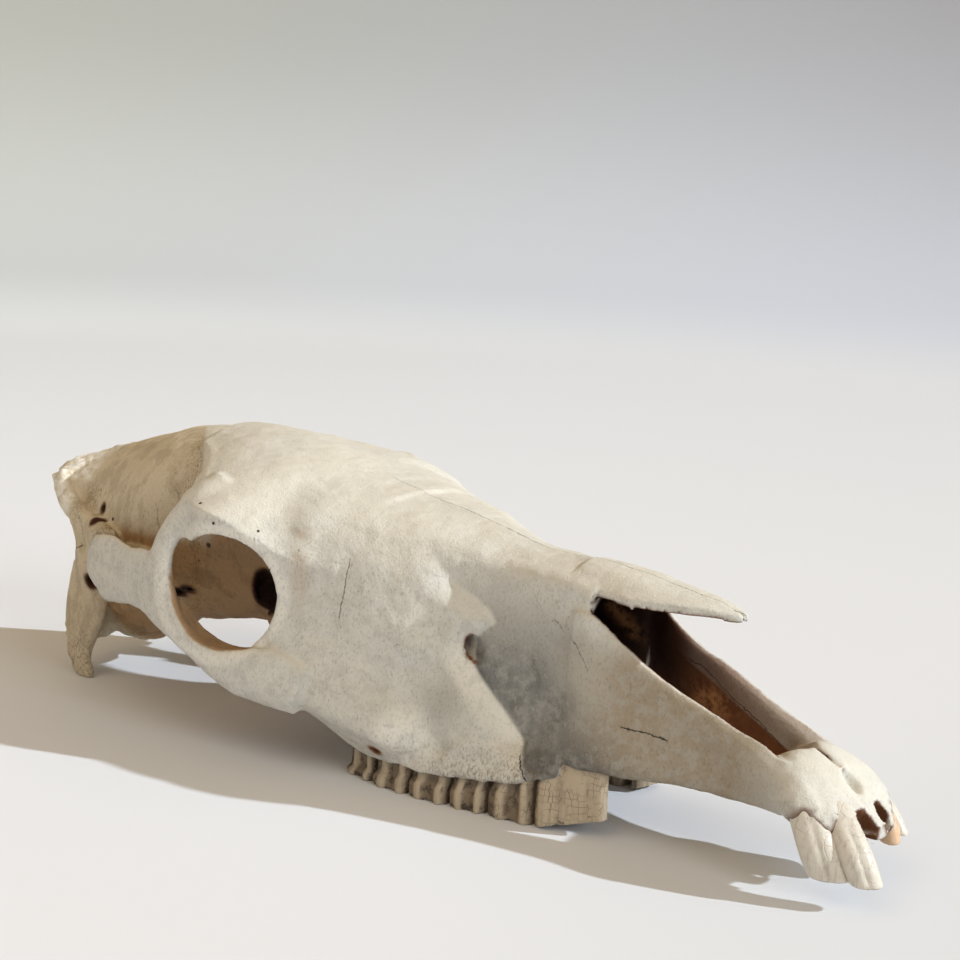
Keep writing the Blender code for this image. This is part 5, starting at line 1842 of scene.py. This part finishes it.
@dataclass(frozen=True)
class ToothFinish:
    """Ivory with darkened grooves and a net of fine cracks; in the front teeth the grooves' darkness is
    partly painted shade.
    """

    name: str = "cheek_teeth"
    pale: Colour = (0.46, 0.375, 0.265, 1)
    deep: Colour = (0.20, 0.15, 0.10, 1)
    dark: Colour = (0.04, 0.03, 0.022, 1)
    crackle: float = 0.25
    cell: float = 300.0             # cracks per metre
    soil_and_crevice_shade: float = 0.9
    roughness: float = 0.6
    gloss: float = 0.3
    bump: float = 0.5
    relief: float = 0.0005          # metres

    def material(self, effects: Effects) -> bpy.types.Material:
        """Material that reads a tooth's own relief mask.

        Args:
            effects: shared node groups.
        """
        made, nodes, shader = start_material(self.name)
        place = nodes.add("ShaderNodeTexCoord").outputs["Object"]
        mask = nodes.add("ShaderNodeAttribute", attribute_name="rib").outputs["Fac"]
        cloud = nodes.noise(nodes.stretch(place, (1, 1, 0.4)), 150.0, 6.0, 0.7)
        groove = nodes.less(nodes.linear(cloud, 1.1, 0.25), mask, clamp=True)
        crust = use(nodes, effects.stain, Vector=place, Scale=210.0, Amount=0.6).outputs["Mask"]
        crust = nodes.times(crust, nodes.ease(mask, 0.75, 0.25))
        net = use(nodes, effects.crackle, Vector=place, Scale=self.cell, Width=0.05).outputs["Mask"]
        pores = use(nodes, effects.pores, Vector=place, Scale=600.0, Amount=0.45).outputs["Mask"]
        streak = nodes.noise(nodes.stretch(place, (1, 1, 0.12)), 500.0, 4.0, 0.6)
        colour = nodes.layered(self.pale, (
            # darker grooves: stain, and in the front teeth painted shade
            (nodes.ease(groove, 0.05, 0.75), self.deep),
            (nodes.times(crust, self.soil_and_crevice_shade), self.dark),
            (nodes.times(net, self.crackle), self.dark),
            (nodes.times(pores, 0.35), self.dark),
            (nodes.times(nodes.ease(streak, 0.5, 0.7), 0.3), self.deep),
        ))
        nodes.put(shader.inputs["Base Color"], colour)
        shader.inputs["Roughness"].default_value = self.roughness
        shader.inputs["Specular IOR Level"].default_value = self.gloss
        height = nodes.less(nodes.times(cloud, 1.2), nodes.times(net, 0.8))
        height = nodes.linear(streak, 0.6, height)
        nodes.bump(shader, nodes.linear(crust, self.soil_and_crevice_shade, height), self.bump, self.relief)
        return made


GRINDING = ToothFinish()
CRAZED = ToothFinish("front_cheek_teeth", crackle=0.75, soil_and_crevice_shade=0.6)
IVORY = ToothFinish("front_teeth", pale=(0.60, 0.55, 0.465, 1), deep=(0.20, 0.15, 0.095, 1),
                    dark=(0.12, 0.08, 0.05, 1), crackle=0.0, cell=160.0, soil_and_crevice_shade=0.1, roughness=0.38)
WORN = ToothFinish("worn_tooth", pale=(0.58, 0.40, 0.25, 1), deep=(0.36, 0.17, 0.07, 1),
                   dark=(0.12, 0.08, 0.05, 1), crackle=0.0, cell=160.0, soil_and_crevice_shade=0.2, roughness=0.5)


# ------------------------------------------------------------------ pieces
@dataclass
class BoneSet:
    """Every bone as a piece of its own."""

    skull: Skull
    surface: bpy.types.Material

    def labels(self) -> tuple[Array, dict[int, tuple[str, str]]]:
        """Number of the bone at each sample, and each number's piece and node."""
        lattice = self.skull.lattice
        x, y, z = (lattice.axis(i) for i in range(3))
        labels = np.zeros(lattice.form.shape, np.uint8)
        solid = lattice.form < 0
        names = {}
        number = 0
        free = solid.copy()
        for bone in Bone:
            chosen = free.copy()
            if bone in OUTLINES_SIDE:
                chosen &= inside(OUTLINES_SIDE[bone], x, z)[:, None, :]
            if bone in OUTLINES_TOP:
                chosen &= inside(OUTLINES_TOP[bone], x, np.abs(y))[:, :, None]
            halves = [(None, slice(None))] if bone in SINGLE_BONES else [
                (Side.RIGHT, slice(0, len(y) // 2)), (Side.LEFT, slice(len(y) // 2, None))]
            for side, half in halves:
                number += 1
                piece = bone.value if side is None else f"{bone.value}_{side.word}"
                node = "cranium" if bone in CRANIUM_BONES else piece
                names[number] = (piece, node)
                labels[:, half][chosen[:, half]] = number
            free &= ~chosen
        return labels, names

    def build(self) -> list[bpy.types.Object]:
        """Mesh, mark and dress each bone."""
        labels, names = self.labels()
        mesher = Mesher(self.skull.lattice, labels)
        meshes = mesher.build()
        marks = SurfaceMarks(self.skull, mesher)
        normal = marks.normals()
        tone, wear_and_shade, dirt = marks.tones(normal)
        seam, pits = marks.seams(normal), marks.pits()
        made = []
        for number, (quads, points, used) in meshes.items():
            piece, node = names[number]
            thing = self.bone(f"bone_{piece}", quads, points)
            data = thing.data
            for name, kind, part, values in (
                    ("tone", "FLOAT_COLOR", "color", tone), ("wear_and_shade", "FLOAT_COLOR", "color", wear_and_shade),
                    ("dirt", "FLOAT_COLOR", "color", dirt), ("seam", "FLOAT_VECTOR", "vector", seam),
                    ("pit", "FLOAT_VECTOR", "vector", pits)):
                attribute = data.attributes.new(name, kind, "POINT")
                attribute.data.foreach_set(part, values[used].ravel())
            data.shade_smooth()
            data.normals_split_custom_set_from_vertices(normal[used].tolist())
            data.materials.append(self.surface)
            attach(thing, "root")
            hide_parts(node)
            made.append(thing)
            LOG.info("%s: %d triangles", thing.name, 2 * len(quads))
        return made

    @staticmethod
    def bone(name: str, quads: Array, points: Array) -> bpy.types.Object:
        """Mesh object from four-sided faces and points in millimetres."""
        data = bpy.data.meshes.new(name)
        data.vertices.add(len(points))
        data.vertices.foreach_set("co", ((points - (X_MIDDLE, 0, 0)) * MM).astype(np.float32).ravel())
        data.loops.add(quads.size)
        data.loops.foreach_set("vertex_index", quads.astype(np.int32).ravel())
        data.polygons.add(len(quads))
        data.polygons.foreach_set("loop_start", np.arange(0, quads.size, 4, dtype=np.int32))
        data.update(calc_edges=True)
        thing = bpy.data.objects.new(name, data)
        bpy.context.scene.collection.objects.link(thing)
        return thing


@dataclass
class CheekTooth:
    """Grinding tooth of the upper jaw."""

    name: str
    back: float
    front: float
    y_back: float
    y_front: float
    gum_back: float
    gum_front: float
    lift: float = 0.0               # of the front edge
    side: Side = Side.RIGHT
    depth: float = 23.0
    bevel: float = 0.8              # how far short of the back the inner face begins
    taper: float = 0.8              # how far short of the front it ends
    ribs: tuple = ((0.33, 0.12, 1.0), (0.86, 0.10, 1.0))     # place, width, height
    rib_height: float = 2.3
    corner: float = 1.8             # how far the corners are rounded off
    corner_length: float = 0.05
    neck: float = 3.5               # how far the tooth draws in above the gum
    root: float = 8.0               # its reach above the gum
    outer_points: int = 40
    inner_points: int = 22
    levels: tuple = (0.0, 0.25, 1.0, 3.0, 6.0, 10.0, 14.0, 19.0, 25.0, 32.0, 38.0)
    foot_rings: tuple = ((0.55, 1.4), (0.8, 0.9), (0.94, 0.4))      # size and height of the hollow foot
    foot_wave: float = 0.25         # height of the waves in the hollow foot
    jag: float = 1.1                # height of the foot's uneven outline
    inner_foot: float = 0.3         # how much higher the foot ends on the inner face
    inner_wave: float = 1.2         # height of the wave of the inner face
    chip: tuple = (0.5, 1.5)        # how far the lowest edge draws in, and over what height
    drift: tuple = (0.25, 7)        # height and length of the slow waves up the outer face
    neck_rise: tuple = (1, 7)       # heights above the gum between which it draws in
    inner_mask: float = 0.4         # rib masks of the inner face and of the hollow foot
    foot_mask: float = 0.1

    def build(self, random: np.random.Generator) -> tuple[Surface, Array]:
        """Stack of rings, each an outer face with ribs and an inner face with a slight wave.

        The outer face lies at y = base + rib_height (sum of exp(-((t - place) / width)^2) - 1), where
        t runs along the tooth; the foot's outline rises and falls by a little.

        Args:
            random: source of the small differences between teeth.

        Returns:
            Closed surface and the rib mask at its points.
        """
        t = np.linspace(0, 1, self.outer_points)
        s = np.linspace(1, 0, self.inner_points + 2)[1:-1]
        wave = random.normal(0, 1, (2, 5))[0]
        swell = np.clip(sum(h * np.exp(-((t - c) / w) ** 2) for c, w, h in self.ribs), 0, 1.1)
        corner = self.corner * (np.exp(-(t / self.corner_length) ** 2)
                                + np.exp(-((1 - t) / self.corner_length) ** 2))
        gum, inner_gum = (self.gum_back + way * (self.gum_front - self.gum_back) for way in (t, s))
        jag = self.jag * np.abs(np.sin(9 * t + wave[1])) * np.abs(np.sin(23 * t + wave[2]))
        foot, inner_foot = self.lift * t + jag * (1 - swell * 0.7), self.lift * s + self.inner_foot
        x = self.back + t * (self.front - self.back)
        inner_x = self.back + self.bevel + s * (self.front - self.back - self.bevel - self.taper)
        inner_y = self.y_back + s * (self.y_front - self.y_back) - self.depth \
            + self.inner_wave * np.cos(s * 4 * math.pi)
        rings = []
        for z in self.levels:
            share = z / self.levels[-1]
            chip = self.chip[0] * np.exp(-z / self.chip[1])
            drift = self.drift[0] * np.sin(z / self.drift[1] + wave[0] + 4 * t)
            out = self.rib_height * (swell - 1) - corner - chip + drift
            y = self.y_back + t * (self.y_front - self.y_back) + out \
                - self.neck * eased(z - gum, *self.neck_rise)
            face = np.column_stack([x, y, foot + (gum + self.root - foot) * share])
            back = np.column_stack([inner_x, inner_y,
                                    inner_foot + (inner_gum + self.root - inner_foot) * share])
            rings.append(np.concatenate([face, back]))
        mask = np.concatenate([swell, np.full(self.inner_points, self.inner_mask)])
        centre = rings[0].mean(axis=0)
        lower = []
        for share, sink in self.foot_rings:
            ring = centre + (rings[0] - centre) * share
            ring[:, 2] = rings[0][:, 2] + sink \
                + self.foot_wave * np.sin(ring[:, 0] * 1.1) * np.cos(ring[:, 1] * 0.9)
            lower.append(ring)
        surface = Surface.of_rings(np.array(lower + rings)[::-1])
        masks = np.concatenate([np.tile(mask, len(rings)), np.full(len(lower) * len(mask), self.foot_mask),
                                [self.inner_mask, self.foot_mask]])
        return surface.mirrored(self.side), masks


@dataclass
class Dentition:
    """Cheek teeth and front teeth."""

    effects: Effects
    # name, back, front, outer y back and front, gum height back and front, lift of the front edge
    cheek: tuple = (
        ("m3", 262, 284.5, 60, 65, 4, 8, 0.0),
        ("m2", 286, 310, 65.5, 66, 8, 12, 0.0),
        ("m1", 311.5, 334.5, 65.5, 62.5, 12, 14, 0.0),
        ("p4", 336.5, 356.5, 62, 57.5, 14, 17, 0.0),
        ("p3", 358.5, 383, 57.5, 53, 17, 24, 0.0),
        ("p2", 385, 420, 52.5, 40, 25, 30, 9.4),
    )
    broken_front: float = 396.0     # the left first cheek tooth ends here
    sharp_angle: float = 55.0       # degrees between faces past which an edge is sharp

    def build(self) -> None:
        """Make every tooth and ride it on the skull."""
        random = np.random.default_rng(SEED)
        grinding, crazed, ivory, worn = (finish.material(self.effects) for finish in
                                         (GRINDING, CRAZED, IVORY, WORN))
        for side in Side:
            for row in self.cheek:
                tooth = CheekTooth(*row, side=side)
                if tooth.name == "p2":
                    self.shape_first(tooth)
                finish = crazed if tooth.name in ("p2", "p3") else grinding
                self.place(f"tooth_{tooth.name}_{side.word}", *tooth.build(random), finish,
                           f"maxilla_{side.word}")
            for tooth in FRONT_TEETH:
                if tooth.side is side:
                    finish = worn if (tooth.name, side) == ("i2", Side.LEFT) else ivory
                    self.place(f"tooth_{tooth.name}_{side.word}", *tooth.build(), finish,
                               f"premaxilla_{side.word}")

    def shape_first(self, tooth: CheekTooth) -> None:
        """Give the first cheek tooth its own ribs; the right one is pointed, the left one broken."""
        tooth.ribs = ((0.17, 0.13, 1.0), (0.6, 0.26, 0.95), (0.93, 0.1, 0.7))
        tooth.depth = 19.0
        tooth.taper = 16.0
        if tooth.side is Side.LEFT:
            share = (self.broken_front - tooth.back) / (tooth.front - tooth.back)
            tooth.y_front = tooth.y_back + (tooth.y_front - tooth.y_back) * share
            tooth.lift *= share
            tooth.front = self.broken_front
            tooth.taper = 2.0

    def place(self, name: str, surface: Surface, mask: Array, finish: bpy.types.Material, slot: str) -> None:
        """Put one tooth in the scene.

        Args:
            name: name of the piece.
            surface: its skin.
            mask: rib mask at the surface's points.
            finish: its material.
            slot: the record's material slot; not used.
        """
        thing = surface.to_object(name)
        attribute = thing.data.attributes.new("rib", "FLOAT", "POINT")
        attribute.data.foreach_set("value", mask.astype(np.float32))
        thing.data.shade_smooth()
        thing.data.set_sharp_from_angle(angle=math.radians(self.sharp_angle))
        thing.data.materials.append(finish)
        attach(thing, "root")
        LOG.info("%s: %d faces", name, len(thing.data.polygons))


# ------------------------------------------------------------------ stage
@dataclass(frozen=True)
class Lamp:
    """Sun or square lamp."""

    name: str
    kind: str
    energy: float
    colour: tuple
    soft: float                     # angle of a sun in degrees, side of a square lamp in metres
    toward: tuple                   # direction in which it stands, seen from the skull
    place: tuple = (0.0, 0.0, 0.0)

    def build(self) -> None:
        """Put the lamp in the scene."""
        data = bpy.data.lights.new(self.name, self.kind)
        data.energy = self.energy
        data.color = self.colour
        if self.kind == "SUN":
            data.angle = math.radians(self.soft)
        else:
            data.size = self.soft
        thing = bpy.data.objects.new(self.name, data)
        thing.location = self.place
        thing.rotation_euler = Vector(self.toward).to_track_quat("Z", "Y").to_euler()
        bpy.context.scene.collection.objects.link(thing)


@dataclass(frozen=True)
class PaleSweep:
    """Finish of the sweep: a pale floor that darkens away from the middle and towards the skull's front, and
    a wall that darkens upwards and to the left; these gradients are painted shade.
    """

    near: Colour = (0.79, 0.80, 0.81, 1)
    far: Colour = (0.735, 0.745, 0.75, 1)
    front: Colour = (0.70, 0.72, 0.74, 1)
    low_right: Colour = (0.615, 0.655, 0.757, 1)
    low_left: Colour = (0.435, 0.437, 0.393, 1)
    high_right: Colour = (0.58, 0.618, 0.713, 1)
    high_left: Colour = (0.34, 0.338, 0.296, 1)
    roughness: float = 0.9
    # from and to, in metres
    floor_reach: tuple = (0.4, 2.8)
    front_reach: tuple = (0.1, 0.45)
    left_reach: tuple = (-0.6, -3.8)
    wall_rise: tuple = (0.15, 0.8)
    wall_foot: tuple = (-0.08, 0.12)

    def material(self) -> bpy.types.Material:
        """Material that reads the place on the sweep."""
        made, nodes, shader = start_material("pale_paper")
        vector = nodes.add("ShaderNodeTexCoord").outputs["Object"]
        place = nodes.add("ShaderNodeSeparateXYZ")
        reach = nodes.add("ShaderNodeVectorMath", operation="LENGTH")
        nodes.put(place.inputs[0], vector)
        nodes.put(reach.inputs[0], vector)
        floor = nodes.mix(nodes.ease(reach.outputs["Value"], *self.floor_reach), self.near, self.far)
        floor = nodes.mix(nodes.ease(place.outputs["X"], *self.front_reach), floor, self.front)
        left = nodes.ease(place.outputs["X"], *self.left_reach)
        low = nodes.mix(left, self.low_right, self.low_left)
        high = nodes.mix(left, self.high_right, self.high_left)
        wall = nodes.mix(nodes.ease(place.outputs["Z"], *self.wall_rise), low, high)
        colour = nodes.mix(nodes.ease(place.outputs["Z"], *self.wall_foot), floor, wall)
        nodes.put(shader.inputs["Base Color"], colour)
        shader.inputs["Roughness"].default_value = self.roughness
        return made


@dataclass
class Studio:
    """Plain pale sweep, low sun, soft fill and the camera."""

    azimuth: float = 39.44
    elevation: float = 9.19
    distance: float = 913.71
    target: tuple = (298.78, 0.0, 158.34)
    roll: float = 2.81
    focal: float = 1700.0
    width: int = 960
    sensor: float = 36.0
    sun_toward: tuple = (0.853, 0.521)
    sun_elevation: float = 27.7
    floor_radius: float = 2.6
    wall_radius: float = 4.2
    wall_height: float = 1.5
    around: int = 96                # points round the sweep
    world_colour: Colour = (1.0, 0.75, 0.46, 1)
    world_strength: float = 0.44

    def camera(self) -> None:
        """Camera at the photograph's place: it looks back along (azimuth, elevation) at the target."""
        a, e, r = (math.radians(v) for v in (self.azimuth, self.elevation, self.roll))
        back = Vector((math.sin(a) * math.cos(e), -math.cos(a) * math.cos(e), math.sin(e)))
        place = Vector(self.target) - Vector((X_MIDDLE, 0, 0)) + back * self.distance
        right = (-back).cross(Vector((0, 0, 1))).normalized()
        up = right.cross(-back)
        across = right * math.cos(r) + up * math.sin(r)
        above = up * math.cos(r) - right * math.sin(r)
        data = bpy.data.cameras.new("camera")
        data.sensor_width = self.sensor
        data.lens = self.sensor * self.focal / self.width
        data.clip_start = 0.01
        thing = bpy.data.objects.new("camera", data)
        bpy.context.scene.collection.objects.link(thing)
        thing.matrix_world = Matrix([[across[i], above[i], back[i], place[i] * MM] for i in range(3)]
                                    + [[0, 0, 0, 1]])
        bpy.context.scene.camera = thing

    def sweep(self) -> None:
        """Floor that turns up into a low wall all round: a profile (r, z) carried round Z."""
        turn = np.linspace(0, math.pi / 2, 24)
        bend = self.wall_radius - self.floor_radius
        flat = np.linspace(0.02, self.floor_radius, 12)[:-1]
        r = np.concatenate([flat, self.floor_radius + bend * np.sin(turn), [self.wall_radius]])
        z = np.concatenate([0 * flat, bend * (1 - np.cos(turn)), [bend]]) * self.wall_height / bend
        angle = np.linspace(0, 2 * math.pi, self.around, endpoint=False)
        points = np.stack([r[:, None] * np.cos(angle), r[:, None] * np.sin(angle),
                           z[:, None] + 0 * angle], -1).reshape(-1, 3)
        i, j = np.meshgrid(np.arange(len(r) - 1), np.arange(self.around), indexing="ij")
        k = (j + 1) % self.around
        near, far = i * self.around, (i + 1) * self.around
        quads = np.stack([near + j, far + j, far + k, near + k], -1).reshape(-1, 4)
        data = bpy.data.meshes.new("sweep")
        data.from_pydata(points.tolist(), [], quads.tolist() + [list(range(self.around))])
        data.update()
        data.shade_smooth()
        data.materials.append(PaleSweep().material())
        thing = bpy.data.objects.new("sweep", data)
        bpy.context.scene.collection.objects.link(thing)
        thing.visible_shadow = False

    def lights(self) -> None:
        """Low sun from in front of the nose, a wide sky beside it, a warm window and a warm world."""
        e = math.radians(self.sun_elevation)
        toward = (self.sun_toward[0] * math.cos(e), self.sun_toward[1] * math.cos(e), math.sin(e))
        Lamp("sun", "SUN", 3.75, (0.90, 0.975, 1.05), 1.2, toward).build()
        Lamp("sky", "SUN", 1.0, (0.86, 0.94, 1.0), 24.0, (0.9, -0.2, 0.4)).build()
        Lamp("window", "AREA", 9.0, (1.0, 0.82, 0.58), 1.6, (0.0, -1.5, 1.9), (0.0, -1.5, 2.0)).build()
        world = bpy.data.worlds.new("world")
        world.use_nodes = True
        background = world.node_tree.nodes["Background"]
        background.inputs["Color"].default_value = self.world_colour
        background.inputs["Strength"].default_value = self.world_strength
        bpy.context.scene.world = world
        bpy.context.scene.view_settings.view_transform = "Standard"

    def build(self) -> None:
        """Everything round the skull."""
        self.camera()
        self.sweep()
        self.lights()


def main() -> None:
    """Build every piece in order."""
    logging.basicConfig(level=logging.INFO, format="%(name)s: %(message)s")
    Studio().build()
    skull = Skull()
    skull.build()
    LOG.info("form made")
    effects = Effects()
    BoneSet(skull, BoneFinish().material(effects)).build()
    Dentition(effects).build()


if __name__ == "__main__":
    main()
